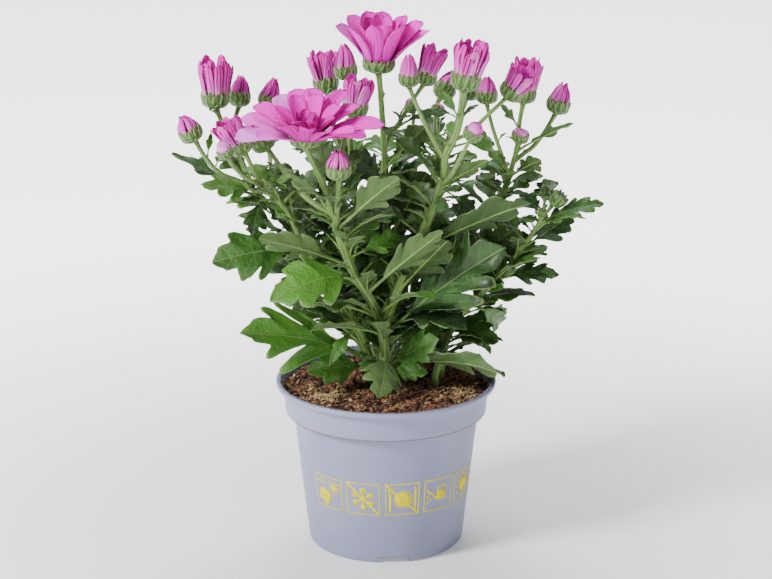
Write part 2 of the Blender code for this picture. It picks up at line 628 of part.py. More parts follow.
def make_petals(head, frame, group):
    """Return the members of a head's petals: its core, and separate petals where it is opening."""
    members = [make_core(head, frame, group)]
    radius = head.radius * MM
    height = cup_height(head)
    length = head.length * MM
    draw = random.Random(head.name)
    for layer, (count, inset, rise, spread, share, width) in enumerate(LAYERS.get(head.name, ())):
        for index in range(count):
            bearing = math.tau * (index + 0.5 * layer) / count + draw.uniform(-0.06, 0.06)
            slope = math.radians(rise - spread * math.cos(2 * bearing)) + draw.uniform(-0.04, 0.04)
            foot = Vector((inset * radius * math.cos(bearing), inset * radius * math.sin(bearing),
                           height + 0.0010 * (1 + layer)))
            reach = length * share * draw.uniform(0.95, 1.04)
            members.append(make_petal(f"{head.name}_{layer}_{index}", foot, bearing, slope, PETAL_DROOP,
                                      PETAL_ROLL * math.cos(bearing), reach, width * MM, frame, group))
    if head.stage == "half":
        for index in range(HALF_PETALS):
            bearing = math.tau * index / HALF_PETALS + draw.uniform(-0.1, 0.1)
            foot = Vector((0.66 * radius * math.cos(bearing), 0.66 * radius * math.sin(bearing),
                           0.95 * height))
            reach = (length - height) * draw.uniform(0.92, 1.05)
            rise = HALF_RISE + draw.uniform(-0.10, 0.06)
            members.append(make_petal(f"{head.name}_{index}", foot, bearing, rise, -0.22, HALF_ROLL, reach,
                                      HALF_WIDTH, frame, group))
    return members


def nearest_on_stalks(stalks, place):
    """Return the point on a shoot's stalks that lies nearest to a place."""
    best = None
    for number, stalk in enumerate(stalks):
        path = stalk_path(stalk, number == 0)
        for start, end in zip(path, path[1:]):
            along = end - start
            share = max(0.0, min(1.0, (place - start).dot(along) / along.length_squared))
            spot = start + along * share
            if best is None or (spot - place).length < (best - place).length:
                best = spot
    return best


class Blade:
    """A leaf's surface: a point for each place along and across it, and its closed solid."""

    def __init__(self, leaf, base, tip, face):
        """Set the leaf's axes from its base and tip in metres and the way its upper side faces."""
        self.leaf = leaf
        self.base = base
        self.axis = tip - base
        self.length = self.axis.length
        self.axis.normalize()
        self.normal = (face - self.axis * face.dot(self.axis)).normalized()
        self.side = self.axis.cross(self.normal)
        self.petiole = min(0.30, 0.10 + 0.0025 / self.length + 0.10)

    def point(self, along, across, lift=0.0):
        """Return the surface point at a share of the length and a signed share of the width."""
        arch = 4 * self.leaf.arch * along * (1 - along)
        slope = 4 * self.leaf.arch * (1 - 2 * along)
        upright = (self.normal - self.axis * slope).normalized()
        ripple = 0.10 * abs(across) * math.sin(9.0 * along + (1.2 if across > 0 else 0.0))
        rise = arch + self.leaf.fold * abs(across) + ripple
        spot = self.base + self.length * (self.axis * along + self.side * across + self.normal * rise)
        return spot + upright * lift

    def solid(self, name, group, swell=0.0, blade_only=False):
        """Make the leaf's closed solid; swell thickens it for a test and blade_only leaves its stalk out."""
        outline = self.leaf.outline
        span = 1 - self.petiole
        stalk_half = (PETIOLE_HALF_WIDTH + swell) / self.length
        stations = [] if blade_only else [0.0]
        stations.append(self.petiole)
        ribs = sorted({rib for _along, _out, rib in outline})
        stations += [self.petiole + span * rib for rib in ribs]
        rim = [] if blade_only else [(0.0, stalk_half, 0)]
        rim.append((self.petiole, stalk_half, len(rim)))
        first = len(rim)
        for along, out, rib in outline:
            rim.append((self.petiole + span * along, span * out * self.leaf.width + swell / self.length,
                        first + ribs.index(rib)))
        points = []
        for place in stations:
            thick = (PETIOLE_THICKNESS if place <= self.petiole else RIB_THICKNESS) / 2 + swell
            points += [self.point(place, 0.0, thick), self.point(place, 0.0, -thick)]
        rows = {}
        for sign in (-1, 1):
            for number, (along, out, _rib) in enumerate(rim):
                rows[sign, number] = len(points)
                thick = BLADE_THICKNESS / 2 + swell
                points += [self.point(along, sign * out, thick), self.point(along, sign * out, -thick)]
        tip = len(points)
        points += [self.point(1.0, 0.0, BLADE_THICKNESS / 2 + swell),
                   self.point(1.0, 0.0, -BLADE_THICKNESS / 2 - swell)]
        faces = []
        for sign in (-1, 1):
            for number in range(len(rim) - 1):
                here, there = rows[sign, number], rows[sign, number + 1]
                rib, next_rib = 2 * rim[number][2], 2 * rim[number + 1][2]
                for side in (0, 1):
                    faces.append((rib + side, here + side, there + side))
                    if next_rib != rib:
                        faces.append((rib + side, there + side, next_rib + side))
                faces += [(here, there, there + 1), (here, there + 1, here + 1)]
            last, rib = rows[sign, len(rim) - 1], 2 * rim[-1][2]
            faces += [(rib, last, tip), (rib + 1, last + 1, tip + 1)]
            faces += [(last, tip, tip + 1), (last, tip + 1, last + 1)]
            root = rows[sign, 0]
            faces += [(0, root, root + 1), (0, root + 1, 1)]
        return solid(name, points, faces, group)


def tree_of(piece):
    """Return the search tree of an object's triangles."""
    mesh = piece.data
    return BVHTree.FromPolygons([vertex.co[:] for vertex in mesh.vertices],
                                [polygon.vertices[:] for polygon in mesh.polygons])


def trial_swings():
    """Return (yaw, lift) pairs in order of size, from no swing at all."""
    steps = range(-SWING_TRIES, SWING_TRIES + 1)
    pairs = [(yaw * SWING_STEP, lift * LIFT_STEP) for yaw in steps for lift in steps]
    return sorted(pairs, key=lambda pair: (pair[0] ** 2 + pair[1] ** 2, pair))


class Foliage:
    """Sets leaves one by one, each swung as little as clears what stands in its way."""

    def __init__(self, scratch, fixed):
        """Take the collection for trial solids and the search trees of what is already there."""
        self.scratch = scratch
        self.fixed = fixed
        self.leaves = {}
        self.swings = trial_swings()

    def blocked(self, shoot, blade):
        """Tell whether a blade crosses another shoot, a flower, the pot or the soil, or its own leaves."""
        trial = blade.solid("trial", self.scratch, CLEARANCE)
        tree = tree_of(trial)
        drop(trial)
        for owner, obstacle in self.fixed:
            if owner != shoot and tree.overlap(obstacle):
                return True
        for owner, leaves in self.leaves.items():
            if owner != shoot and any(tree.overlap(whole) for whole, _flat in leaves):
                return True
        trial = blade.solid("trial", self.scratch, 0.0002, True)
        flat = tree_of(trial)
        drop(trial)
        if any(owner == shoot and flat.overlap(obstacle) for owner, obstacle in self.fixed):
            return True
        return any(flat.overlap(other) for _whole, other in self.leaves.get(shoot, []))

    def place(self, shoot, stalks, leaf, required):
        """Return the leaf's blade where it is clear, or None where there is no room for it."""
        base = nearest_on_stalks(stalks, Vector(leaf.base) * MM)
        reach = (Vector(leaf.tip) - Vector(leaf.base)) * MM
        side = reach.cross(UP_AXIS).normalized()
        for shrink in SHRINKS:
            for yaw, lift in self.swings:
                turn = Matrix.Rotation(yaw, 3, "Z") @ Matrix.Rotation(lift, 3, side)
                blade = Blade(leaf, base, base + turn @ reach * shrink, turn @ Vector(leaf.face))
                if not self.blocked(shoot, blade):
                    self.keep(shoot, blade)
                    return blade
            if not required:
                break
        return None

    def keep(self, shoot, blade):
        """Remember a placed blade as an obstacle for the leaves after it."""
        whole = blade.solid("trial", self.scratch)
        flat = blade.solid("trial", self.scratch, 0.0, True)
        self.leaves.setdefault(shoot, []).append((tree_of(whole), tree_of(flat)))
        drop(whole)
        drop(flat)


def fill_leaves(name, stalks, fills):
    """Return the leaves that are set round a shoot's stem by rule, each turned on from the one below."""
    draw = random.Random(name)
    path = [Vector(point) for point in stalks[0].points]
    leaves = []
    for fill in fills:
        for index in range(fill.count):
            share = (index + 0.5) / fill.count
            height = fill.low + (fill.high - fill.low) * share
            base = min(path, key=lambda point: abs(point.z - height)).copy()
            for low, high in zip(path, path[1:]):
                if low.z <= height <= high.z:
                    base = low.lerp(high, (height - low.z) / (high.z - low.z))
            offset = ((index * 0.618) % 1.0) * 2 - 1
            bearing = math.radians(fill.bearing + offset * fill.sweep)
            length = 52 - 22 * share + draw.uniform(-3, 3)
            rise = math.radians(18 + 14 * share + draw.uniform(-6, 6))
            level = math.cos(rise)
            reach = Vector((math.cos(bearing) * level, math.sin(bearing) * level, math.sin(rise)))
            leaves.append(Leaf(tuple(base), tuple(base + reach * length), UP, PLAIN,
                               0.10 + draw.uniform(0, 0.06), 0.16, draw.uniform(0.95, 1.2)))
    return leaves


def make_plant(parts, scratch, pot, soil):
    """Make every shoot and every head's petals, and set the leaves clear of one another."""
    stems = {}
    fixed = [("pot", tree_of(pot)), ("soil", tree_of(soil))]
    heads = []
    for name, (stalks, _leaves, _fills) in SHOOTS.items():
        members = []
        for number, stalk in enumerate(stalks):
            members.append(make_stalk(f"{name}_stalk_{number}", stalk, number == 0, scratch))
            if stalk.head is None:
                continue
            frame = head_frame(stalk.head, stalk_path(stalk, False)[-1])
            members.append(make_cup(stalk.head, frame, scratch))
            if stalk.head.stage != "green":
                heads.append((stalk.head, make_petals(stalk.head, frame, scratch)))
        stems[name] = members
        fixed += [(name, tree_of(member)) for member in members]
    for head, members in heads:
        fixed += [("petals_" + head.name, tree_of(member)) for member in members]
    foliage = Foliage(scratch, fixed)
    placed = {name: [] for name in SHOOTS}
    for name, (stalks, leaves, _fills) in SHOOTS.items():
        placed[name] += [foliage.place(name, stalks, leaf, True) for leaf in leaves]
    for name, (stalks, _leaves, fills) in SHOOTS.items():
        leaves = fill_leaves(name, stalks, fills)
        placed[name] += [foliage.place(name, stalks, leaf, False) for leaf in leaves]
    for name, blades in placed.items():
        members = stems[name]
        for number, blade in enumerate(blades):
            if blade is not None:
                members.append(blade.solid(f"{name}_leaf_{number}", scratch))
        fuse(name, members, "shoot", parts)
    for head, members in heads:
        fuse("petals_" + head.name, members, "petals", parts)


def main():
    """Clear the scene and build the potted plant."""
    for piece in list(bpy.data.objects):
        bpy.data.objects.remove(piece, do_unlink=True)
    parts = collection("potted_chrysanthemum")
    scratch = collection("members")
    pot = make_pot(parts)
    soil = make_soil(parts)
    make_plant(parts, scratch, pot, soil)
    bpy.data.collections.remove(scratch)
    holder = bpy.data.objects.new("potted_chrysanthemum", None)
    parts.objects.link(holder)
    for piece in parts.objects:
        if piece is not holder:
            piece.parent = holder


main()
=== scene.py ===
"""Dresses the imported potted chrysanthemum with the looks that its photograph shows.

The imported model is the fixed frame, in metres: +Z is up, the origin lies on the pot's axis at the surface it
stands on, and -Y is the front. The plan of the plant repeats the one that its solids were made from, in
millimetres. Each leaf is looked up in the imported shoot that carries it, so that the fine leaf lies where the
solid one does, and smaller leaves are then set between them.
"""
import json
import logging
import math
import random
from dataclasses import dataclass
from enum import Enum

import bpy
import numpy as np
from mathutils import Matrix, Vector, noise
from mathutils.bvhtree import BVHTree
from mathutils.kdtree import KDTree

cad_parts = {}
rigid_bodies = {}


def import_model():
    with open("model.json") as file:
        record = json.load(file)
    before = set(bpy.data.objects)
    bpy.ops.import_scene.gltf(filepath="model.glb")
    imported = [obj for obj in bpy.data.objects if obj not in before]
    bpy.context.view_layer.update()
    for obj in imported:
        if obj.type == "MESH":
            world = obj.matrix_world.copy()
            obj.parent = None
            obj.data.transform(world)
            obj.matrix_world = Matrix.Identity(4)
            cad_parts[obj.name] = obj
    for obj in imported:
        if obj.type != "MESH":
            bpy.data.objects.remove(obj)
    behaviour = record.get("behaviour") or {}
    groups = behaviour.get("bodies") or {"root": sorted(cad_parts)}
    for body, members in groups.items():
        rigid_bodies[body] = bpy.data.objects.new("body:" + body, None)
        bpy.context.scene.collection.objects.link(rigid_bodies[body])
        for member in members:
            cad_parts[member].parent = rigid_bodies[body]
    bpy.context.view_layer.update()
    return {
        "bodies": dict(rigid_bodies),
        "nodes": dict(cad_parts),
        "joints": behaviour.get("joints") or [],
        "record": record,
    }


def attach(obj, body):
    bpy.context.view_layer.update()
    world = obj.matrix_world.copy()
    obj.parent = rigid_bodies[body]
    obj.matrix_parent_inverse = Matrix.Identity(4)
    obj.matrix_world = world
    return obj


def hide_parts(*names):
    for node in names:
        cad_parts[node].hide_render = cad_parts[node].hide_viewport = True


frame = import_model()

MM = 0.001
UP = (0, 0, 1)
FRONT = (0, -1, 0.5)
BACK = (0, 1, 0.5)
UP_AXIS = Vector(UP)
Colour = tuple[float, float, float, float]

LOG = logging.getLogger("scene")

# The solids' own rules, repeated so that their leaves can be found again
SOIL_HEIGHT = 0.0885
ROOT_DEPTH = 0.022
SWING_STEP = math.radians(8)
LIFT_STEP = math.radians(7)
SWING_TRIES = 6
SHRINKS = (1.0, 0.84, 0.7, 0.56)
# How near to a packed vertex a leaf's tip has to come to be the one that was packed
TIP_MATCH = 0.55 * MM

# The photograph's frame, in pixels, and the camera fitted to it
IMAGE_WIDTH = 772
SENSOR_WIDTH = 36.0
FOCAL_PIXELS = 2320
CAMERA_PLACE = (0.0, -1.2, 0.501)
CAMERA_DIP = math.radians(16.66)


class Stage(Enum):
    """How far a flower head has opened."""
    BLOOM = "bloom"
    HALF = "half"
    BUD = "bud"
    BUTTON = "button"
    GREEN = "green"


class Outline(Enum):
    """Half outlines of a leaf's blade, foot to tip: share along it, share out, and place on the midrib."""
    LOBED = ((0, 0.012, 0), (0.14, 0.075, 0.05), (0.33, 0.24, 0.10), (0.46, 0.305, 0.17), (0.50, 0.25, 0.24),
             (0.44, 0.16, 0.32), (0.58, 0.215, 0.38), (0.73, 0.265, 0.46), (0.78, 0.21, 0.54),
             (0.755, 0.14, 0.62), (0.86, 0.135, 0.74), (0.95, 0.07, 0.88), (1, 0.003, 1))
    DEEP = ((0, 0.012, 0), (0.12, 0.05, 0.04), (0.36, 0.22, 0.08), (0.64, 0.385, 0.14), (0.69, 0.34, 0.19),
            (0.58, 0.22, 0.25), (0.46, 0.125, 0.32), (0.62, 0.19, 0.38), (0.79, 0.285, 0.46),
            (0.83, 0.24, 0.53), (0.765, 0.13, 0.62), (0.87, 0.13, 0.74), (0.95, 0.075, 0.88), (1, 0.003, 1))
    PLAIN = ((0, 0.012, 0), (0.18, 0.10, 0.07), (0.36, 0.25, 0.14), (0.50, 0.31, 0.22), (0.55, 0.24, 0.30),
             (0.52, 0.17, 0.38), (0.66, 0.215, 0.46), (0.80, 0.22, 0.56), (0.83, 0.15, 0.68),
             (0.92, 0.09, 0.84), (1, 0.003, 1))
    SLIM = ((0, 0.012, 0), (0.22, 0.09, 0.12), (0.48, 0.18, 0.25), (0.56, 0.16, 0.38), (0.58, 0.115, 0.5),
            (0.76, 0.10, 0.7), (1, 0.003, 1))


LOBED, DEEP, PLAIN, SLIM = Outline
BLOOM, HALF, BUD, BUTTON, GREEN = Stage


@dataclass(frozen=True)
class Head:
    """A flower head: its name, stage, the way it faces, its cup's radius and its whole length in mm."""
    name: str
    stage: Stage
    aim: tuple[float, float, float]
    radius: float
    length: float


@dataclass(frozen=True)
class Stalk:
    """A stem or side stalk: its axis from root to head and its radii at both ends in mm, and its head."""
    points: tuple
    root: float
    end: float
    head: Head


@dataclass(frozen=True)
class Leaf:
    """A leaf: base and tip in mm, where its upper side faces, outline, arch, fold, width, whether its lower
    skin shows on that side, and its shade, which is drawn where it is negative."""
    base: tuple
    tip: tuple
    face: tuple = UP
    outline: Outline = LOBED
    arch: float = 0.10
    fold: float = 0.16
    width: float = 1.0
    turned: bool = False
    tone: float = -1.0


@dataclass(frozen=True)
class Fill:
    """Leaves set round a stem in turn: how many, heights in mm, first bearing and sweep in degrees."""
    count: int
    low: float
    high: float
    bearing: float
    sweep: float


SHOOTS = {
    "shoot_front": (
        (Stalk(((-1, -10, 96), (-3, -15, 129), (-17, -26, 159), (-26, -36, 187), (-31, -41, 207),
                (-41, -47, 232)), 2.9, 1.5, Head("bloom_front", BLOOM, (0, -2, 20), 8.0, 33)),
         Stalk(((-26, -36, 187), (-25, -44, 200), (-24, -50, 216)), 1.3, 1.1,
               Head("bud_round", BUD, (-0.5, -3, 16), 6.2, 16)),
         Stalk(((-25, -35, 184), (-24, -26, 201), (-23, -18, 222), (-21, -13, 230), (-17, -9, 239)),
               1.3, 1.0, Head("half_inner", HALF, (4, -1, 22), 6.6, 22)),
         Stalk(((-29, -38, 194), (-41, -32, 201), (-50, -25, 209), (-58, -16, 218), (-62, -12, 222)),
               1.5, 1.1, Head("half_under", HALF, (-10, 2, 16), 6.4, 19))),
        (Leaf((-18, -24, 152), (-63, -58, 151), (-0.3, -1, 0.7), arch=0.22, width=1.25, tone=1.0),
         Leaf((-19, -27, 163), (-66, -48, 184), BACK, arch=0.04, width=0.8),
         Leaf((-6, -15, 132), (-52, -38, 147), UP, arch=0.06, width=0.9),
         Leaf((-25, -36, 185), (7, -62, 219), BACK, arch=0.04, width=0.8),
         Leaf((-11, -21, 146), (29, -50, 188), BACK, arch=0.02, width=0.55),
         Leaf((0, -11, 108), (-2, -42, 95), (0.3, 1, 1), arch=0.2, width=1.7, turned=True, tone=1.0),
         Leaf((-20, -29, 168), (8, -14, 176), FRONT, width=0.9),
         Leaf((-31, -41, 205), (-36, -12, 230), FRONT, arch=0.05),
         Leaf((-28, -36, 189), (-50, -50, 200), UP, SLIM)),
        (Fill(3, 120, 190, 20, 70),)),
    "shoot_left_front": (
        (Stalk(((-7, -3, 98), (-15, -9, 122), (-31, -17, 149), (-42, -22, 170), (-52, -26, 193),
                (-64, -28, 206), (-73, -28, 224)), 2.4, 1.1,
               Head("half_left", HALF, (-11.5, -3, 19), 6.0, 21)),
         Stalk(((-64, -28, 206), (-73, -34, 213), (-78, -39, 219), (-81, -41, 225)), 1.2, 0.9,
               Head("button_left", BUTTON, (-4, -3, 9), 4.2, 10)),
         Stalk(((-57, -27, 199), (-60, -12, 207), (-62, 4, 216), (-63, 16, 229), (-64, 20, 238)),
               1.2, 1.0, Head("bud_middle_left", BUD, (5, 0, 17), 5.6, 17))),
        (Leaf((-8, -5, 102), (-76, -45, 131), (-0.2, -1, 1.1), DEEP, width=0.8, tone=0.7),
         Leaf((-8, 0, 102), (-42, -22, 105), FRONT, width=1.1),
         Leaf((-16, -9, 125), (-30, -28, 108), FRONT, SLIM, arch=0.2),
         Leaf((-27, -15, 143), (-48, 20, 120), UP, arch=0.15),
         Leaf((-48, -25, 184), (-54, 0, 212), BACK, arch=0.04)),
        (Fill(3, 115, 180, 95, 50),)),
    "shoot_left": (
        (Stalk(((-9, 6, 99), (-30, -2, 145), (-50, -6, 175), (-71, -8, 200), (-87, -11, 209),
                (-95, -12, 218), (-100, -12, 227)), 2.6, 1.1,
               Head("bud_far_left", BUD, (-7.4, -1, 14), 6.1, 15.5)),
         Stalk(((-71, -8, 200), (-76, -2, 212), (-80, 2, 219), (-84, 4, 226), (-88, 5, 235),
                (-90, 5, 241)), 1.6, 1.2, Head("half_tall_left", HALF, (-0.5, -2, 27), 7.4, 27)),
         Stalk(((-83, 4, 224), (-81, 14, 232), (-79, 22, 238)), 1.2, 1.1,
               Head("bud_behind_left", BUD, (1, 4, 16), 5.8, 17))),
        (Leaf((-43, -4, 165), (-91, -30, 166), (-0.2, -1, 0.6), arch=0.16, width=1.25, tone=0.4),
         Leaf((-65, -8, 194), (-95, -25, 206), (0, -0.6, 1), width=1.1),
         Leaf((-66, -8, 194), (-70, -34, 181), (0, -1, 0.4), arch=0.12, width=1.1),
         Leaf((-72, -8, 201), (-113, -5, 219), (0, -0.2, 1), SLIM, arch=-0.03),
         Leaf((-94, -12, 217), (-92, -6, 230), FRONT, SLIM)),
        (Fill(3, 118, 180, 100, 45),)),
    "shoot_centre": (
        (Stalk(((0, -2, 96), (0, -6, 121), (5, -11, 142), (16, -18, 170), (29, -25, 206),
                (31, -27, 222), (37, -27, 236), (40, -27, 257)), 2.9, 1.6,
               Head("half_right_centre", HALF, (4.5, -1, 26), 7.6, 26.5)),
         Stalk(((30, -27, 221), (21, -18, 236), (15, -10, 248), (12, -8, 255)), 1.3, 1.0,
               Head("bud_centre", BUD, (0, 0, 17), 5.3, 17.4)),
         Stalk(((29, -25, 206), (33, -32, 212), (38, -40, 224), (43, -44, 235)), 1.2, 0.9,
               Head("button_right", BUTTON, (4, -4, 10), 4.9, 11)),
         Stalk(((36, -27, 231), (44, -22, 234), (52, -14, 240), (63, -8, 249)), 1.2, 1.0,
               Head("half_leaning", HALF, (11, -3, 15.5), 6.2, 18))),
        (Leaf((1, -6, 119), (63, -34, 175), (-0.2, -1, 0.8), DEEP, arch=0.06, width=0.85, tone=0.12),
         Leaf((5, -11, 143), (42, -38, 170), BACK, arch=0.03, width=0.9),
         Leaf((16, -18, 168), (81, -30, 192), (-0.1, 0.7, 1), arch=0.03, width=0.8),
         Leaf((1, -2, 99), (29, -28, 123), (-0.3, -1, 0.6), arch=0.05, width=1.1),
         Leaf((0, -4, 98), (54, -58, 119), (0, 0.8, 0.8), arch=0.08, width=0.8, tone=1.2),
         Leaf((1, 0, 98), (25, -14, 105), FRONT, arch=0.12),
         Leaf((29, -25, 205), (53, -40, 223), BACK, SLIM, arch=0.03),
         Leaf((28, -25, 205), (46, -14, 189), FRONT, arch=0.12, width=0.9),
         Leaf((29, -25, 206), (-3, -6, 233), UP, SLIM, arch=0.08),
         Leaf((37, -27, 242), (26, -36, 260), FRONT, SLIM),
         Leaf((35, -27, 226), (58, -4, 224), FRONT, arch=0.14)),
        (Fill(4, 112, 190, 30, 60),)),
    "shoot_top": (
        (Stalk(((2, 14, 96), (2, 22, 129), (0, 22, 178), (-1, 14, 216), (-3, 6, 250), (-4, 5, 260)),
               2.5, 1.4, Head("bloom_top", BLOOM, (1, -1, 20), 8.4, 26)),
         Stalk(((-1, 14, 216), (2, 16, 223), (7, 17, 230), (14, 17, 242), (20, 17, 251)), 1.3, 1.0,
               Head("half_centre", HALF, (7, 0, 21), 5.6, 23)),
         Stalk(((-1, 19, 194), (6, 30, 206), (14, 38, 221), (15, 40, 231)), 1.1, 0.9,
               Head("button_behind", BUTTON, (-3, 3, 8), 3.6, 8))),
        (Leaf((6, 17, 228), (34, 6, 238), (0.1, -0.8, 1), SLIM),
         Leaf((-2, 17, 205), (20, 2, 232), BACK, arch=0.04),
         Leaf((-1, 18, 196), (-20, -4, 219), FRONT, arch=0.08),
         Leaf((1, 24, 161), (22, 10, 205), BACK, arch=0.03, width=1.25),
         Leaf((-2, 17, 200), (-40, 4, 205), FRONT, arch=0.1)),
        (Fill(5, 108, 190, 60, 90),)),
    "shoot_back_left": (
        (Stalk(((-5, 22, 95), (-13, 38, 153), (-19, 34, 206), (-19, 24, 230), (-21, 16, 254)), 2.4, 1.1,
               Head("bud_back", BUD, (-1.6, 0, 19.5), 6.0, 19.5)),
         Stalk(((-17, 35, 191), (-24, 41, 209), (-30, 42, 226), (-32, 38, 242)), 1.3, 1.1,
               Head("half_back", HALF, (-3, 1, 24), 6.8, 24))),
        (),
        (Fill(7, 112, 212, 60, 110),)),
    "shoot_right": (
        (Stalk(((30, 4, 98), (33, 6, 127), (45, 6, 154), (57, 3, 178), (66, -3, 208), (70, -6, 225)),
               2.5, 1.2, Head("button_low", BUTTON, (1.5, -2, 7), 4.4, 7.5)),
         Stalk(((68, -4, 214), (73, -3, 218), (78, 0, 221), (84, 3, 228), (90, 5, 238)), 1.3, 1.1,
               Head("bud_far_right", BUD, (4.7, 0, 17.4), 6.1, 17.4)),
         Stalk(((67, -4, 212), (70, 6, 220), (71, 11, 230), (73, 12, 242)), 1.3, 1.1,
               Head("half_right", HALF, (2, 1, 25), 6.4, 25)),
         Stalk(((65, -2, 206), (62, 8, 214), (57, 16, 228), (54, 20, 240)), 1.2, 1.0,
               Head("bud_right", BUD, (0, 0, 15), 5.6, 15))),
        (Leaf((70, -6, 220), (99, -14, 236), (0, 0.6, 1), SLIM, arch=0.03),
         Leaf((65, -3, 206), (81, -14, 217), (0.3, 1, 0.6), arch=0.02, width=1.3),
         Leaf((63, -1, 199), (79, -22, 210), (0, -0.5, 1)),
         Leaf((65, -2, 203), (50, -16, 212), (0, -0.5, 1)),
         Leaf((71, 10, 229), (60, 2, 244), FRONT, SLIM),
         Leaf((45, 6, 154), (70, -14, 180), (0.2, 1, 0.4), width=1.1),
         Leaf((38, 6, 140), (35, -8, 174), FRONT, width=1.1),
         Leaf((33, 6, 120), (57, -22, 118), (0, -1, 0.7), arch=0.15, width=1.1),
         Leaf((33, 6, 120), (20, -20, 122), (0, -1, 0.7), arch=0.12)),
        (Fill(4, 115, 190, 50, 70),)),
    "shoot_low_right": (
        (Stalk(((27, -9, 98), (36, -10, 124), (46, -12, 138), (65, -15, 159), (82, -18, 186),
                (88, -18, 194)), 2.1, 0.8, Head("green_round", GREEN, (3.5, -1, 4), 4.2, 8)),
         Stalk(((81, -18, 184), (83, -15, 190), (84, -14, 197)), 0.9, 0.7,
               Head("green_oval", GREEN, (0, 0, 1), 2.2, 6)),
         Stalk(((81, -18, 184), (81, -21, 186), (82, -23, 189)), 0.9, 0.7,
               Head("green_small", GREEN, (0, -0.4, 1), 2.2, 4))),
        (Leaf((59, -14, 151), (92, -28, 158), (0, -1, 0.9), width=0.8),
         Leaf((73, -16, 167), (102, -8, 185), (0.2, -1, 0.6), width=1.1),
         Leaf((82, -18, 184), (112, -18, 202), (0, -0.8, 1), width=0.8),
         Leaf((41, -11, 132), (63, -20, 136), UP, SLIM),
         Leaf((46, -12, 138), (62, 10, 116), FRONT)),
        (Fill(1, 125, 165, 20, 50),)),
    "shoot_back_right": (
        (Stalk(((10, 24, 98), (19, 48, 151), (28, 52, 196), (28, 50, 230), (30, 50, 237)), 2.4, 1.2,
               Head("bud_facing_back", BUD, (7, 8, 12), 6.0, 17)),
         Stalk(((28, 52, 198), (35, 50, 216), (42, 45, 231), (44, 43, 238)), 1.2, 1.0,
               Head("bud_hidden", BUD, (4, 5, 8), 5.2, 13)),
         Stalk(((29, 52, 211), (27, 43, 222), (27, 36, 230)), 1.0, 0.8,
               Head("button_back", BUTTON, (3, 3, 6), 3.8, 7))),
        (),
        (Fill(7, 112, 212, 50, 120),)),
}


def linear(code: str) -> Colour:
    """Turn an sRGB hex colour into linear RGBA.

    Args:
        code: colour such as "#A9AEC2".

    Returns:
        Its linear red, green and blue, and an alpha of one.
    """
    shares = [int(code[start:start + 2], 16) / 255 for start in (1, 3, 5)]
    red, green, blue = [((c + 0.055) / 1.055) ** 2.4 if c > 0.04045 else c / 12.92 for c in shares]
    return red, green, blue, 1.0


def feed(tree: bpy.types.NodeTree, node: bpy.types.Node, inputs: dict | tuple) -> None:
    """Set the inputs of a shader node.

    Args:
        tree: node tree that holds it.
        node: the node.
        inputs: what its inputs take, by name, or in the order that the node shows them. Each takes a
            number, a vector, an sRGB hex colour, a socket, or a node, whose first output in use feeds it.
    """
    if isinstance(inputs, tuple):
        pairs = zip([socket for socket in node.inputs if socket.enabled], inputs)
    else:
        pairs = [(node.inputs[name], value) for name, value in inputs.items()]
    for socket, value in pairs:
        if isinstance(value, bpy.types.Node):
            value = next(output for output in value.outputs if output.enabled)
        if isinstance(value, bpy.types.NodeSocket):
            tree.links.new(value, socket)
        else:
            socket.default_value = linear(value) if isinstance(value, str) else value


def add_node(tree: bpy.types.NodeTree, kind: str, settings: dict | None = None,
             inputs: dict | tuple = ()) -> bpy.types.Node:
    """Add a shader node with its settings and what feeds its inputs.

    Args:
        tree: node tree that takes it.
        kind: Blender's name for the node's type, without the "ShaderNode" that it starts with.
        settings: its properties; "stops" gives a colour ramp's (place, hex colour) pairs in order.
        inputs: what its inputs take, as in feed.

    Returns:
        The new node.
    """
    node = tree.nodes.new("ShaderNode" + kind)
    for name, value in (settings or {}).items():
        if name != "stops":
            setattr(node, name, value)
            continue
        elements = node.color_ramp.elements
        elements[-1].position = value[-1][0]
        for place, _colour in value[1:-1]:
            elements.new(place)
        for element, (place, colour) in zip(elements, value):
            element.position, element.color = place, linear(colour)
    feed(tree, node, inputs)
    return node


@dataclass(frozen=True)
class Finish:
    """What every finish has: its name, main colour, roughness and IOR, and how strongly it shows relief."""
    name: str
    colour: str
    roughness: float = 0.5
    ior: float = 1.45
    bump: float = 0.3

    def material(self) -> bpy.types.Material:
        """Return the finish's material, made on its first use."""
        surface = bpy.data.materials.get(self.name)
        if surface is None:
            surface = bpy.data.materials.new(self.name)
            surface.use_nodes = True
            tree = surface.node_tree
            shader = tree.nodes["Principled BSDF"]
            feed(tree, shader, {"Base Color": self.colour, "Roughness": self.roughness, "IOR": self.ior})
            self.dress(tree, shader)
        return surface

    def dress(self, tree: bpy.types.NodeTree, shader: bpy.types.Node) -> None:
        """Add the nodes that give the finish its pattern and relief."""

    def relief(self, tree: bpy.types.NodeTree, shader: bpy.types.Node, height: bpy.types.Node,
               depth_mm: float) -> None:
        """Feed a height between 0 and 1 to the shader as relief of a depth in mm."""
        bump = add_node(tree, "Bump", inputs={
            "Strength": self.bump, "Distance": depth_mm * MM, "Height": height})
        feed(tree, shader, {"Normal": bump})


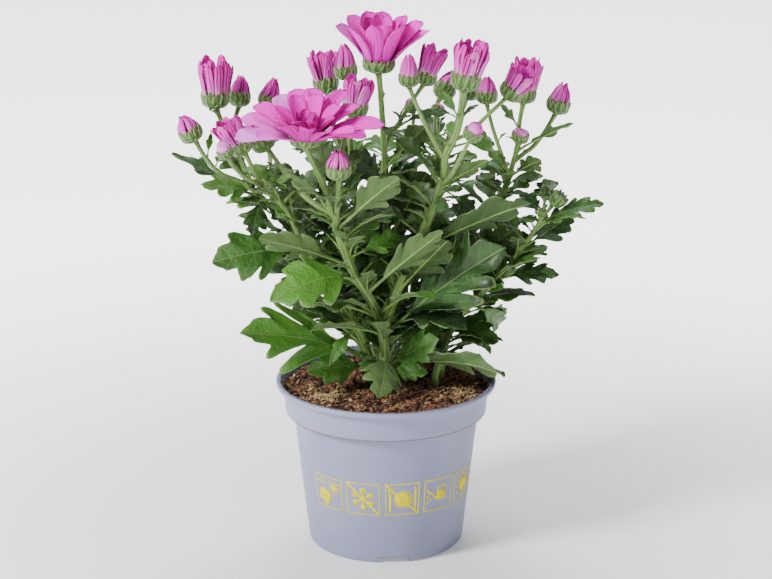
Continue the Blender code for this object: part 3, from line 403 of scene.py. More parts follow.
@dataclass(frozen=True)
class MouldedPolypropylene(Finish):
    """Injection-moulded polypropylene: a satin lavender grey with dust, scuffs and smears of peat, and a dark
    line in the crease under the band that is painted shade mixed with peat.
    """
    # Brown of the peat smears, which the crease's painted shade also takes
    smear: str = "#6E5A50"
    dust: str = "#D9DCE6"
    mottle_mm: float = 30.0
    speck_mm: float = 1.9
    grime_mm: float = 2.4
    speck_share: float = 0.13
    pale_from: float = 0.93
    dark_from: float = 0.90
    dirt_from: float = 0.068
    dirt_full: float = 0.077
    ledge_low: float = 0.075
    ledge_high: float = 0.079
    # Height and half width, in metres, of the crease's line of painted shade
    crease: float = 0.0746
    crease_shade_half: float = 0.0007

    def dress(self, tree: bpy.types.NodeTree, shader: bpy.types.Node) -> None:
        """Mottle the plastic, scatter pale and dark specks on it, smear peat under the rim, and paint shade in
        the crease.

        Heights are in metres: the smear begins under the rim and thins out over the ledge, and a line of
        painted shade, mixed with peat, lies in the crease between the two.
        """
        place = add_node(tree, "TexCoord").outputs["Object"]
        mottle = add_node(tree, "TexNoise", inputs={"Vector": place, "Scale": 1 / (self.mottle_mm * MM),
                                                    "Detail": 5.0, "Roughness": 0.6})
        tint = add_node(tree, "ValToRGB", {"stops": ((0.3, "#878BA8"), (0.5, self.colour),
                                                     (0.72, "#9094B0"))}, {"Fac": mottle})
        specks = add_node(tree, "TexVoronoi", inputs={"Vector": place, "Scale": 1 / (self.speck_mm * MM),
                                                      "Randomness": 1.0})
        # Specks: a dot in the middle of a few cells, pale in some and dark in others
        spot = add_node(tree, "Math", {"operation": "LESS_THAN"}, (specks, self.speck_share))
        pick = add_node(tree, "SeparateColor", inputs={"Color": specks.outputs["Color"]})
        pale = add_node(tree, "Math", {"operation": "GREATER_THAN"}, (pick.outputs["Red"], self.pale_from))
        dark = add_node(tree, "Math", {"operation": "GREATER_THAN"}, (pick.outputs["Green"], self.dark_from))
        pale_spot = add_node(tree, "Math", {"operation": "MULTIPLY"}, (pale, spot))
        dark_spot = add_node(tree, "Math", {"operation": "MULTIPLY"}, (dark, spot))
        height = add_node(tree, "SeparateXYZ", inputs={"Vector": place})
        # Dirt: crumbs in the band of heights under the rim. In the crease, a dark line of painted shade, mixed
        # with peat
        near_rim = add_node(tree, "MapRange", inputs=(height.outputs["Z"], self.dirt_from, self.dirt_full))
        over_ledge = add_node(tree, "MapRange", inputs=(height.outputs["Z"], self.ledge_high,
                                                        self.ledge_low, 0.45, 1.0))
        grime = add_node(tree, "TexNoise", inputs={"Vector": place, "Scale": 1 / (self.grime_mm * MM),
                                                   "Detail": 6.0, "Roughness": 0.75})
        crumbs = add_node(tree, "MapRange", inputs=(grime, 0.57, 0.72))
        band = add_node(tree, "Math", {"operation": "MULTIPLY"}, (near_rim, over_ledge))
        # Painted shade: a dark line along the band's lower corner, broken by noise
        crease = add_node(tree, "Math", {"operation": "COMPARE"}, (height.outputs["Z"], self.crease,
                                                                   self.crease_shade_half))
        shade_and_dirt_deposit = add_node(tree, "MapRange", inputs=(grime, 0.35, 0.6, 0.45))
        line = add_node(tree, "Math", {"operation": "MULTIPLY"}, (crease, shade_and_dirt_deposit))
        smear = add_node(tree, "Math", {"operation": "MULTIPLY"}, (band, crumbs))
        dirt_and_crease_shade = add_node(tree, "Math", {"operation": "MAXIMUM"}, (smear, line))
        faint_dirt_and_shade = add_node(tree, "Math", {"operation": "MULTIPLY"}, (dirt_and_crease_shade, 0.9))
        smeared_and_shaded = add_node(tree, "Mix", {"data_type": "RGBA"}, (faint_dirt_and_shade, tint, self.smear))
        dusted = add_node(tree, "Mix", {"data_type": "RGBA"}, (pale_spot, smeared_and_shaded, self.dust))
        dotted = add_node(tree, "Mix", {"data_type": "RGBA"}, (dark_spot, dusted, "#6A5A52"))
        sheen = add_node(tree, "MapRange", inputs=(grime, 0.0, 1.0, self.roughness - 0.05,
                                                   self.roughness + 0.1))
        feed(tree, shader, {"Base Color": dotted, "Roughness": sheen})
        self.relief(tree, shader, grime, 0.05)


@dataclass(frozen=True)
class ScreenPrintInk(Finish):
    """Screen-printed ink, laid on the plastic: a matt strong yellow, worn uneven in small specks."""
    wear_mm: float = 0.9

    def dress(self, tree: bpy.types.NodeTree, shader: bpy.types.Node) -> None:
        """Vary the yellow in specks, as where the ink lies thinner or thicker."""
        place = add_node(tree, "TexCoord").outputs["Object"]
        wear = add_node(tree, "TexNoise", inputs={"Vector": place, "Scale": 1 / (self.wear_mm * MM),
                                                  "Detail": 4.0, "Roughness": 0.7})
        tint = add_node(tree, "ValToRGB", {"stops": ((0.0, "#C8B820"), (0.26, "#DCCC00"),
                                                     (0.36, self.colour), (1.0, "#EADC00"))}, {"Fac": wear})
        feed(tree, shader, {"Base Color": tint, "Specular IOR Level": 0.2})


@dataclass(frozen=True)
class SphagnumPeat(Finish):
    """Milled sphagnum peat, loose and dry on top: dark brown crumbs, with red-brown and straw ones."""
    grain_mm: float = 1.6
    patch_mm: float = 14.0

    def dress(self, tree: bpy.types.NodeTree, shader: bpy.types.Node) -> None:
        """Colour each crumb by its tone, and break that up with grain."""
        place = add_node(tree, "TexCoord").outputs["Object"]
        tone = add_node(tree, "Attribute", {"attribute_name": "tone"})
        grain = add_node(tree, "TexNoise", inputs={"Vector": place, "Scale": 1 / (self.grain_mm * MM),
                                                   "Detail": 8.0, "Roughness": 0.8})
        patches = add_node(tree, "TexNoise", inputs={"Vector": place, "Scale": 1 / (self.patch_mm * MM),
                                                     "Detail": 3.0, "Roughness": 0.6})
        centred = add_node(tree, "Math", {"operation": "MULTIPLY_ADD"}, (grain, 0.75, -0.35))
        spread = add_node(tree, "Math", {"operation": "MULTIPLY_ADD"}, (patches, 0.6, -0.28))
        both = add_node(tree, "Math", {"operation": "ADD"}, (centred, spread))
        mixed = add_node(tree, "Math", {"operation": "ADD"}, (tone.outputs["Fac"], both))
        tint = add_node(tree, "ValToRGB", {"stops": ((0.0, "#140B08"), (0.26, "#34211A"), (0.44, "#6B4838"),
                                                     (0.6, "#9B674E"), (0.8, "#B0946C"), (1.0, "#D2BE86"))},
                        {"Fac": mixed})
        feed(tree, shader, {"Base Color": tint})
        self.relief(tree, shader, grain, 0.8)


@dataclass(frozen=True)
class LeafSkin(Finish):
    """One side of a living leaf: waxy deep green above, downy pale grey green below, with its veins.

    A leaf's UV map gives, along U, the run of its side veins, which lie at whole numbers, and, along V, how
    far out from the midrib a place is.
    """
    vein: str = "#7FA05A"
    shade: str = "#1F4A14"
    vein_share: float = 0.5
    sheen: float = 0.0
    cell_mm: float = 1.5
    coat: float = 0.0

    def dress(self, tree: bpy.types.NodeTree, shader: bpy.types.Node) -> None:
        """Draw midrib, side veins and a fine net, and vary the green from leaf to leaf."""
        place = add_node(tree, "TexCoord")
        axes = add_node(tree, "SeparateXYZ", inputs={"Vector": place.outputs["UV"]})
        # Veins: how near U is to a whole number, and V to the midrib
        out = add_node(tree, "Math", {"operation": "ABSOLUTE"}, (axes.outputs["Y"],))
        gap = add_node(tree, "Math", {"operation": "PINGPONG"}, (axes.outputs["X"], 0.5))
        reach = add_node(tree, "Math", {"operation": "ADD"}, (out, 0.12))
        apart = add_node(tree, "Math", {"operation": "MULTIPLY"}, (gap, reach))
        side = add_node(tree, "MapRange", inputs=(apart, 0.003, 0.018, 0.3, 0.0))
        middle = add_node(tree, "MapRange", inputs=(out, 0.015, 0.055, 1.0, 0.0))
        veins = add_node(tree, "Math", {"operation": "MAXIMUM"}, (side, middle))
        net = add_node(tree, "TexVoronoi", {"feature": "DISTANCE_TO_EDGE"},
                       {"Vector": place.outputs["Object"], "Scale": 1 / (self.cell_mm * MM)})
        mesh = add_node(tree, "MapRange", inputs=(net, 0.0, 0.1, 0.12, 0.0))
        lines = add_node(tree, "Math", {"operation": "MAXIMUM"}, (veins, mesh))
        # Green: from leaf to leaf by its tone, and in clouds over each
        tone = add_node(tree, "Attribute", {"attribute_name": "tone"})
        cloud = add_node(tree, "TexNoise", inputs={"Vector": place.outputs["Object"], "Scale": 1 / (9 * MM),
                                                   "Detail": 4.0})
        swing = add_node(tree, "Math", {"operation": "MULTIPLY_ADD"}, (cloud, 0.7, -0.35))
        depth = add_node(tree, "Math", {"operation": "ADD", "use_clamp": True}, (tone.outputs["Fac"], swing))
        green = add_node(tree, "Mix", {"data_type": "RGBA"}, (depth, self.shade, self.colour))
        share = add_node(tree, "Math", {"operation": "MULTIPLY"}, (lines, self.vein_share))
        veined = add_node(tree, "Mix", {"data_type": "RGBA"}, (share, green, self.vein))
        fine = add_node(tree, "TexNoise", inputs={"Vector": place.outputs["Object"], "Scale": 1 / (0.7 * MM),
                                                  "Detail": 3.0, "Roughness": 0.7})
        wrinkles = add_node(tree, "TexNoise",
                            inputs={"Vector": place.outputs["Object"], "Scale": 1 / (3.0 * MM),
                                    "Detail": 4.0, "Roughness": 0.6})
        # Margin: a thin pale line all round, a painted rim highlight, and scorched brown in places
        margin = add_node(tree, "MapRange", inputs=(out, 0.9, 0.99))
        scorched = add_node(tree, "MapRange", inputs=(cloud, 0.6, 0.66, 0.0, 0.8))
        brown = add_node(tree, "Math", {"operation": "MULTIPLY"}, (margin, scorched))
        # Painted rim highlight: the vein's pale green along the very edge
        thin = add_node(tree, "MapRange", inputs=(out, 0.93, 1.0, 0.0, 0.45))
        rim_lit = add_node(tree, "Mix", {"data_type": "RGBA"}, (thin, veined, self.vein))
        edged = add_node(tree, "Mix", {"data_type": "RGBA"}, (brown, rim_lit, "#5E4426"))
        gloss = add_node(tree, "MapRange", inputs=(fine, 0.3, 0.7, self.roughness - 0.08,
                                                   self.roughness + 0.12))
        sunk = add_node(tree, "Math", {"operation": "MULTIPLY_ADD"}, (lines, 0.3, wrinkles))
        grain = add_node(tree, "Math", {"operation": "MULTIPLY_ADD"}, (fine, 0.2, sunk))
        feed(tree, shader, {"Base Color": edged, "Specular IOR Level": 0.3, "Coat Weight": self.coat,
                            "Coat Roughness": 0.28, "Sheen Weight": self.sheen, "Sheen Roughness": 0.4,
                            "Roughness": gloss})
        self.relief(tree, shader, grain, 1.1)


@dataclass(frozen=True)
class HerbStem(Finish):
    """A soft-stemmed herb's skin, ribbed and downy: fresh light green, with painted highlights along its ribs
    and painted shade in the grooves between them.
    """
    shade: str = "#5E8A38"
    rib_count: float = 6.0

    def dress(self, tree: bpy.types.NodeTree, shader: bpy.types.Node) -> None:
        """Streak the stem lengthwise and paint light on its ribs and shade between them: U runs round it and V
        along it, in centimetres.
        """
        place = add_node(tree, "TexCoord")
        stretch = add_node(tree, "Mapping", inputs={"Vector": place.outputs["UV"], "Scale": (9.0, 0.8, 1.0)})
        streak = add_node(tree, "TexNoise", inputs={"Vector": stretch, "Scale": 1.0, "Detail": 3.0})
        tone = add_node(tree, "Attribute", {"attribute_name": "tone"})
        swing = add_node(tree, "Math", {"operation": "MULTIPLY_ADD"}, (streak, 1.0, -0.5))
        around = add_node(tree, "SeparateXYZ", inputs={"Vector": place.outputs["UV"]})
        # Painted light and shade: paler on each rib and darker in each groove
        turns = add_node(tree, "Math", {"operation": "MULTIPLY"},
                         (around.outputs["X"], 2 * math.pi * self.rib_count))
        ribs = add_node(tree, "Math", {"operation": "COSINE"}, (turns,))
        rib_lit_and_streaked = add_node(tree, "Math", {"operation": "MULTIPLY_ADD"}, (ribs, 0.32, swing))
        depth = add_node(tree, "Math", {"operation": "ADD", "use_clamp": True},
                         (tone.outputs["Fac"], rib_lit_and_streaked))
        green = add_node(tree, "Mix", {"data_type": "RGBA"}, (depth, self.shade, self.colour))
        feed(tree, shader, {"Base Color": green, "Sheen Weight": 0.25, "Sheen Tint": "#E8F2D8"})
        self.relief(tree, shader, streak, 0.2)


@dataclass(frozen=True)
class RayFloret(Finish):
    """One side of a ray floret: velvety and thin, with fine veins that run its length.

    U runs from the foot, 0, to the tip, 1, and V across from -1 to 1.
    """
    foot: str = "#F2D3E6"
    vein: str = "#B03A93"
    tip: str = "#F06AD2"
    pale: str = "#E6B4E4"
    vein_share: float = 0.5
    edge_shade_share: float = 0.0
    foot_end: float = 0.08
    vein_count: float = 7.0

    def dress(self, tree: bpy.types.NodeTree, shader: bpy.types.Node) -> None:
        """Grade the floret from foot to tip, draw its veins, broken by noise, and paint shade and highlights
        on it by its tone and along its edges.
        """
        place = add_node(tree, "TexCoord")
        axes = add_node(tree, "SeparateXYZ", inputs={"Vector": place.outputs["UV"]})
        cloud = add_node(tree, "TexNoise", inputs={"Vector": place.outputs["Object"], "Scale": 1 / (4 * MM),
                                                   "Detail": 3.0})
        wander = add_node(tree, "Math", {"operation": "MULTIPLY_ADD"}, (cloud, 0.35, -0.17))
        across = add_node(tree, "Math", {"operation": "ADD"}, (axes.outputs["Y"], wander))
        turns = add_node(tree, "Math", {"operation": "MULTIPLY"}, (across, self.vein_count * math.pi))
        wave = add_node(tree, "Math", {"operation": "SINE"}, (turns,))
        lines = add_node(tree, "MapRange", inputs=(wave, 0.1, 1.0, 0.0, self.vein_share))
        ragged = add_node(tree, "Math", {"operation": "MULTIPLY_ADD", "use_clamp": True},
                          (wander, 0.6, axes.outputs["X"]))
        grade = add_node(tree, "ValToRGB", {"stops": ((0.0, self.foot), (self.foot_end, self.foot),
                                                      (self.foot_end + 0.18, self.colour), (1.0, self.tip))},
                         {"Fac": ragged})
        # Tone: painted shade darkens low-toned florets toward the vein's colour, and painted highlight whitens
        # high-toned ones in patches
        tone = add_node(tree, "Attribute", {"attribute_name": "tone"})
        tone_shade = add_node(tree, "Math", {"operation": "MULTIPLY_ADD", "use_clamp": True},
                         (tone.outputs["Fac"], -2.0, 0.9))
        out = add_node(tree, "Math", {"operation": "ABSOLUTE"}, (axes.outputs["Y"],))
        # Painted shade along both edges, where florets meet and overlap
        edge = add_node(tree, "MapRange", inputs=(out, 0.7, 1.0, 0.0, self.edge_shade_share))
        tone_and_edge_shade = add_node(tree, "Math", {"operation": "ADD"}, (tone_shade, edge))
        deep = add_node(tree, "Math", {"operation": "ADD", "use_clamp": True}, (lines, tone_and_edge_shade))
        veined = add_node(tree, "Mix", {"data_type": "RGBA"}, (deep, grade, self.vein))
        tone_highlight = add_node(tree, "MapRange", inputs=(tone.outputs["Fac"], 0.66, 1.0, 0.0, 0.6))
        patchy_highlight = add_node(tree, "Math", {"operation": "MULTIPLY", "use_clamp": True}, (tone_highlight, cloud))
        spread = add_node(tree, "Math", {"operation": "MULTIPLY", "use_clamp": True}, (patchy_highlight, 2.0))
        mixed = add_node(tree, "Mix", {"data_type": "RGBA"}, (spread, veined, self.pale))
        feed(tree, shader, {"Base Color": mixed, "Specular IOR Level": 0.1, "Subsurface Weight": 0.3,
                            "Subsurface Radius": (1.0, 0.12, 0.75), "Subsurface Scale": 0.0015})
        self.relief(tree, shader, wave, 0.12)


@dataclass(frozen=True)
class Bract(Finish):
    """A bract of the cup: firm and green along its middle, with a papery pale margin and a pinkish tip.

    U runs from the foot, 0, to the tip, 1, and V across from -1 to 1.
    """
    margin: str = "#C2CE9C"
    tip: str = "#9A6258"

    def dress(self, tree: bpy.types.NodeTree, shader: bpy.types.Node) -> None:
        """Fade the green into the margin at both sides and into the tip."""
        place = add_node(tree, "TexCoord")
        axes = add_node(tree, "SeparateXYZ", inputs={"Vector": place.outputs["UV"]})
        out = add_node(tree, "Math", {"operation": "ABSOLUTE"}, (axes.outputs["Y"],))
        cloud = add_node(tree, "TexNoise",
                         inputs={"Vector": place.outputs["Object"], "Scale": 1 / (1.2 * MM), "Detail": 3.0})
        rim = add_node(tree, "MapRange", inputs=(out, 0.55, 1.0, 0.0, 0.8))
        upward = add_node(tree, "MapRange", inputs=(axes.outputs["X"], 0.45, 0.9, 0.0, 1.0))
        edge = add_node(tree, "Math", {"operation": "MULTIPLY"}, (rim, upward))
        keel = add_node(tree, "MapRange", inputs=(out, 0.05, 0.55, 1.0, 0.0))
        green = add_node(tree, "Mix", {"data_type": "RGBA"}, (keel, self.colour, "#26480E"))
        noisy = add_node(tree, "Mix", {"data_type": "RGBA", "blend_type": "OVERLAY"},
                         (0.35, green, cloud.outputs["Color"]))
        pale = add_node(tree, "Mix", {"data_type": "RGBA"}, (edge, noisy, self.margin))
        tone = add_node(tree, "Attribute", {"attribute_name": "tone"})
        end = add_node(tree, "MapRange", inputs=(axes.outputs["X"], 0.78, 1.0))
        browned = add_node(tree, "Math", {"operation": "MULTIPLY"}, (end, tone.outputs["Fac"]))
        tipped = add_node(tree, "Mix", {"data_type": "RGBA"}, (browned, pale, self.tip))
        feed(tree, shader, {"Base Color": tipped, "Sheen Weight": 0.2})
        self.relief(tree, shader, keel, 0.2)


@dataclass(frozen=True)
class GlowingSweep(Finish):
    """A white sweep like a product photographer's table, emitting painted light though it is no lamp."""
    near_painted_shadow_glow: float = 0.25
    far_painted_light_glow: float = 2.8

    def dress(self, tree: bpy.types.NodeTree, shader: bpy.types.Node) -> None:
        """Make the sweep emit painted light, most from 0.7 m away, and dim it round the pot as a painted
        shadow.
        """
        place = add_node(tree, "TexCoord").outputs["Object"]
        reach = add_node(tree, "VectorMath", {"operation": "LENGTH"}, (place,))
        # Painted light: the floor emits, least under the pot as a painted shadow and most far off
        painted_glow = add_node(tree, "MapRange", {"interpolation_type": "SMOOTHSTEP"},
                        (reach, 0.05, 0.7, self.near_painted_shadow_glow, self.far_painted_light_glow))
        feed(tree, shader, {"Emission Color": (1.0, 1.0, 1.0, 1.0), "Emission Strength": painted_glow})


# Moulded plastic: an even satin skin, dusty from the bench
POT_PLASTIC = MouldedPolypropylene("moulded_polypropylene", "#8B8FAC", 0.42, 1.49, 0.25)
# Ink: opaque and matt beside the plastic's satin
PRINT_INK = ScreenPrintInk("screen_print_ink", "#E2D400", 0.7, 1.4)
# Peat: no gloss at all, and every crumb another brown
PEAT = SphagnumPeat("sphagnum_peat", "#3A2218", 0.95, 1.45, 0.9)
# The upper skin's wax gives soft lights, and the down on it a grey bloom
LEAF_TOP = LeafSkin("leaf_upper_skin", "#4A7E24", 0.36, 1.5, 1.0, "#8CAA62", "#10300A", 0.34, 0.05,
                    coat=0.18)
# The lower skin is felted, so it stays matt and its veins stand out
LEAF_BELOW = LeafSkin("leaf_lower_skin", "#4C6634", 0.62, 1.4, 1.0, "#86A068", "#2A421C", 0.5, 0.12, 1.8)
# Young stems: fresh and slightly glossy between the hairs
STEM_SKIN = HerbStem("herb_stem_skin", "#7A9C48", 0.5, 1.45, 0.4, "#37581F")
# Down: near white, so that it edges the stems with a pale haze
HAIR = Finish("stem_hair", "#DCE6CC", 0.6)
# The inner side of a floret holds the full colour, darker toward its foot, partly its own deeper colour and
# partly painted shade; the outer side is paler and veined, and both take painted shade along their edges
FLORET_INNER = RayFloret("ray_floret_inner_side", "#FF0CD0", 0.55, 1.4, 0.3, "#80064E", "#88045C", "#FF18DA",
                         "#DC98EC", 0.34, 0.2, 0.26)
FLORET_OUTER = RayFloret("ray_floret_outer_side", "#E61CC4", 0.55, 1.4, 0.4, "#9C1A66", "#6A043E",
                         "#EE18C4", "#D488DC", 0.44, 0.45)
# On heads still closed the outer side is paler still, striped by fewer and broader veins, with painted shade
# along each floret's edges
FLORET_CLOSED = RayFloret("ray_floret_closed_side", "#E056C6", 0.55, 1.4, 0.5, "#DCB4C4", "#6A0440",
                          "#E838BC", "#E8A8E0", 0.68, 0.5, 0.24, 3.0)
# Bracts: firm and green, each edged pale so that its neighbour shows
BRACT = Bract("cup_bract", "#426C1A", 0.5, 1.4, 0.4)
# The photographer's table: painted light from the sweep, white far off and dimmed round the pot as a painted
# shadow
GLOWING_SWEEP = GlowingSweep("glowing_sweep", "#F4F4F4", 0.9)


def polar(radius: float, turn: float) -> tuple[float, float]:
    """Return the flat place at a distance from the origin, in a direction in radians."""
    return radius * math.cos(turn), radius * math.sin(turn)


def wobble(draw: random.Random, size: float) -> Vector:
    """Return a vector that is drawn between minus and plus a size on each axis."""
    return Vector([draw.uniform(-size, size) for _axis in range(3)])


def smooth_path(points: list[Vector], step: float) -> list[Vector]:
    """Run a smooth curve through points.

    Args:
        points: places it passes through, in metres.
        step: rough distance between the places returned.

    Returns:
        Places along the curve, from the first point to the last.
    """
    ends = [points[0] * 2 - points[1], *points, points[-1] * 2 - points[-2]]
    path = [points[0].copy()]
    for before, start, end, after in zip(ends, ends[1:], ends[2:], ends[3:]):
        count = max(1, round((end - start).length / step))
        for index in range(1, count + 1):
            t = index / count
            path.append(0.5 * (start * 2 + (end - before) * t
                               + (before * 2 - start * 5 + end * 4 - after) * t * t
                               + (start * 3 - before - end * 3 + after) * t ** 3))
    return path


def spline(table: tuple, shares: np.ndarray) -> np.ndarray:
    """Read a smooth curve through a table at several places.

    Args:
        table: rows whose first number is the place, rising, and the rest the values there.
        shares: places to read.

    Returns:
        The values, one row a place, or a flat array where the table has one value a row.
    """
    rows = np.array(table, dtype=float)
    knots, values = rows[:, 0], rows[:, 1:]
    slopes = np.gradient(values, knots, axis=0)
    index = np.clip(np.searchsorted(knots, shares, side="right") - 1, 0, len(knots) - 2)
    width = (knots[index + 1] - knots[index])[:, None]
    t = ((shares - knots[index]) / width[:, 0])[:, None]
    start, end = values[index], values[index + 1]
    result = ((2 * t ** 3 - 3 * t ** 2 + 1) * start + (t ** 3 - 2 * t ** 2 + t) * width * slopes[index]
              + (3 * t ** 2 - 2 * t ** 3) * end + (t ** 3 - t ** 2) * width * slopes[index + 1])
    return result[:, 0] if result.shape[1] == 1 else result


class Shells:
    """Closed shells gathered into one mesh, with their UV places, tones and material slots."""

    def __init__(self) -> None:
        """Start with no shells."""
        self.points: list[tuple] = []
        self.tones: list[float] = []
        self.faces: list[tuple] = []
        self.uvs: list[tuple] = []
        self.slots: list[int] = []
        self.flats: list[bool] = []

    def add(self, points: np.ndarray, uvs: np.ndarray, faces: list[tuple], slots: int | list[int],
            tone: float | np.ndarray, flat: bool = False) -> None:
        """Add one shell.

        Args:
            points: its vertices.
            uvs: a UV place for each vertex.
            faces: vertex numbers of each face, seen from outside anticlockwise.
            slots: material slot of the shell or of each face.
            tone: shade between 0 and 1, for the shell or for each vertex.
            flat: whether its faces are flat-shaded.
        """
        base = len(self.points)
        self.points.extend(map(tuple, points))
        self.tones.extend(np.broadcast_to(tone, (len(points),)).tolist())
        self.faces.extend(tuple(base + corner for corner in face) for face in faces)
        places = [tuple(place) for place in uvs]
        self.uvs.extend(places[corner] for face in faces for corner in face)
        self.slots.extend(np.broadcast_to(slots, (len(faces),)).tolist())
        self.flats.extend([flat] * len(faces))

    def slab(self, middle: np.ndarray, thickness: float | np.ndarray, uvs: np.ndarray, tone: float,
             sides: tuple[int, int], facing: Vector) -> None:
        """Thicken a surface into a closed leaf or petal.

        Args:
            middle: its middle surface, as rows of points.
            thickness: in metres, for the whole or for each point.
            uvs: a UV place for each point of the surface.
            tone: shade of the whole.
            sides: material slots of the upper and the lower side.
            facing: direction that the upper side looks to, near the surface's centre.
        """
        rows, columns = middle.shape[:2]
        along = np.gradient(middle, axis=0)
        across = np.gradient(middle, axis=1)
        normals = np.cross(across, along)
        size = np.linalg.norm(normals, axis=2, keepdims=True)
        normals = normals / np.maximum(size, 1e-15)
        flip = float(normals[rows // 2, columns // 2] @ np.array(facing)) < 0
        if flip:
            normals = -normals
        half = (np.broadcast_to(thickness, (rows, columns)) / 2)[:, :, None]
        upper = (middle + normals * half).reshape(-1, 3)
        lower = (middle - normals * half).reshape(-1, 3)
        count = rows * columns
        top = [(i * columns + j, i * columns + j + 1, (i + 1) * columns + j + 1, (i + 1) * columns + j)
               for i in range(rows - 1) for j in range(columns - 1)]
        bottom = [tuple(corner + count for corner in reversed(quad)) for quad in top]
        loop = [*range(columns), *range(2 * columns - 1, count, columns),
                *range(count - 2, count - columns - 1, -1), *range(count - 2 * columns, 0, -columns)]
        edge = [(after, here, here + count, after + count)
                for here, after in zip(loop, loop[1:] + loop[:1])]
        faces = top + bottom + edge
        if flip:
            faces = [tuple(reversed(face)) for face in faces]
        places = uvs.reshape(-1, 2)
        self.add(np.vstack((upper, lower)), np.vstack((places, places)), faces,
                 [sides[0]] * len(top) + [sides[1]] * (len(bottom) + len(edge)), tone)

    def tube(self, path: list[Vector], radii: np.ndarray, count: int, ribs: int = 0,
             depth: float = 0.0, tone: float = 0.5, slot: int = 0) -> None:
        """Sweep a round or ribbed section along a path.

        Args:
            path: middle line.
            radii: radius at each place of it.
            count: sides of the section.
            ribs: ribs round the section.
            depth: rise of a rib as a share of the radius.
            tone: shade of the whole.
            slot: material slot.
        """
        turns = np.arange(count) * 2 * math.pi / count
        swell = 1 + depth * np.cos(turns * ribs)
        ahead = (path[1] - path[0]).normalized()
        side = ahead.orthogonal().normalized()
        rings = []
        uvs = []
        walked = 0.0
        for index, place in enumerate(path):
            before = path[max(index - 1, 0)]
            after = path[min(index + 1, len(path) - 1)]
            new_ahead = (after - before).normalized()
            side = ahead.rotation_difference(new_ahead) @ side
            side = (side - new_ahead * side.dot(new_ahead)).normalized()
            ahead = new_ahead
            third = ahead.cross(side)
            walked += (place - before).length
            ring = np.cos(turns)[:, None] * np.array(side) + np.sin(turns)[:, None] * np.array(third)
            rings.append(np.array(place) + ring * (radii[index] * swell)[:, None])
            uvs.append(np.column_stack((turns / (2 * math.pi), np.full(count, walked * 100))))
        self.loft(np.array(rings), np.array(uvs), tone, slot)

    def loft(self, rings: np.ndarray, uvs: np.ndarray, tone: float | np.ndarray, slot: int) -> None:
        """Join closed rings into a solid with a fan over each end.

        Args:
            rings: points of each ring, anticlockwise seen from beyond the last ring.
            uvs: a UV place for each point.
            tone: shade of the whole or of each ring.
            slot: material slot.
        """
        count, around = rings.shape[:2]
        faces = [(i * around + j, i * around + (j + 1) % around,
                  (i + 1) * around + (j + 1) % around, (i + 1) * around + j)
                 for i in range(count - 1) for j in range(around)]
        first, last = count * around, count * around + 1
        top = (count - 1) * around
        faces += [(first, (j + 1) % around, j) for j in range(around)]
        faces += [(last, top + j, top + (j + 1) % around) for j in range(around)]
        points = np.vstack((rings.reshape(-1, 3), rings[0].mean(axis=0), rings[-1].mean(axis=0)))
        places = np.vstack((uvs.reshape(-1, 2), uvs[0].mean(axis=0), uvs[-1].mean(axis=0)))
        shade = np.broadcast_to(np.reshape(tone, (-1, 1)), (count, around)).reshape(-1)
        self.add(points, places, faces, slot, np.concatenate((shade, shade[:1], shade[-1:])))

    def pebble(self, place: Vector, size: Vector, turn: Matrix, draw: random.Random, tone: float) -> None:
        """Add a small rough crumb: an octahedron pulled out of shape.

        Args:
            place: its centre.
            size: half sizes along its own axes.
            turn: 3 x 3 rotation.
            draw: random draw.
            tone: shade.
        """
        corners = ((1, 0, 0), (0, 1, 0), (-1, 0, 0), (0, -1, 0), (0, 0, 1), (0, 0, -1))
        points = [place + turn @ Vector([axis * half * draw.uniform(0.7, 1.25)
                                         for axis, half in zip(corner, size)]) for corner in corners]
        faces = [(0, 1, 4), (1, 2, 4), (2, 3, 4), (3, 0, 4), (1, 0, 5), (2, 1, 5), (3, 2, 5), (0, 3, 5)]
        self.add(np.array(points), np.zeros((6, 2)), faces, 0, tone, flat=True)

    def build(self, name: str, finishes: list[Finish], record_slot: str, nodes: tuple[str, ...] = ()
              ) -> bpy.types.Object:
        """Make the gathered shells one piece that rides the object.

        Args:
            name: the piece's name.
            finishes: finishes of its material slots in order.
            record_slot: finish slot of the record that it belongs to; not used.
            nodes: CAD nodes that it replaces.

        Returns:
            The new piece.
        """
        mesh = bpy.data.meshes.new(name)
        mesh.from_pydata(self.points, [], self.faces)
        for finish in finishes:
            mesh.materials.append(finish.material())
        mesh.polygons.foreach_set("material_index", self.slots)
        mesh.polygons.foreach_set("use_smooth", [not flat for flat in self.flats])
        layer = mesh.uv_layers.new(name="UVMap")
        layer.data.foreach_set("uv", np.array(self.uvs, dtype=np.float32).reshape(-1))
        tone = mesh.attributes.new("tone", "FLOAT", "POINT")
        tone.data.foreach_set("value", np.array(self.tones, dtype=np.float32))
        mesh.update()
        piece = bpy.data.objects.new(name, mesh)
        bpy.context.scene.collection.objects.link(piece)
        return settle(piece, nodes)


def settle(piece: bpy.types.Object, nodes: tuple[str, ...]) -> bpy.types.Object:
    """Fix a piece to the object, in place of the CAD nodes it stands for.

    Args:
        piece: the piece.
        nodes: CAD nodes that it replaces.

    Returns:
        The piece.
    """
    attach(piece, "root")
    for node in nodes:
        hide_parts(node)
    LOG.info("%s: %d faces", piece.name, len(piece.data.polygons))
    return piece


def stalk_path(stalk: Stalk, rooted: bool) -> list[Vector]:
    """Return a stalk's axis in metres; a shoot's first one starts below the soil."""
    points = [Vector(point) * MM for point in stalk.points]
    if rooted:
        x, y, _z = points[0]
        points = [Vector((x, y, SOIL_HEIGHT - ROOT_DEPTH)), Vector((x, y, SOIL_HEIGHT + 0.003)), *points]
    return points


def nearest_on_stalks(stalks: tuple, place: Vector) -> Vector:
    """Return the point of a shoot's stalks that lies nearest to a place."""
    best, least = None, math.inf
    for index, stalk in enumerate(stalks):
        path = stalk_path(stalk, index == 0)
        for start, end in zip(path, path[1:]):
            along = end - start
            share = max(0.0, min(1.0, (place - start).dot(along) / along.length_squared))
            point = start + along * share
            if (point - place).length < least:
                best, least = point, (point - place).length
    return best


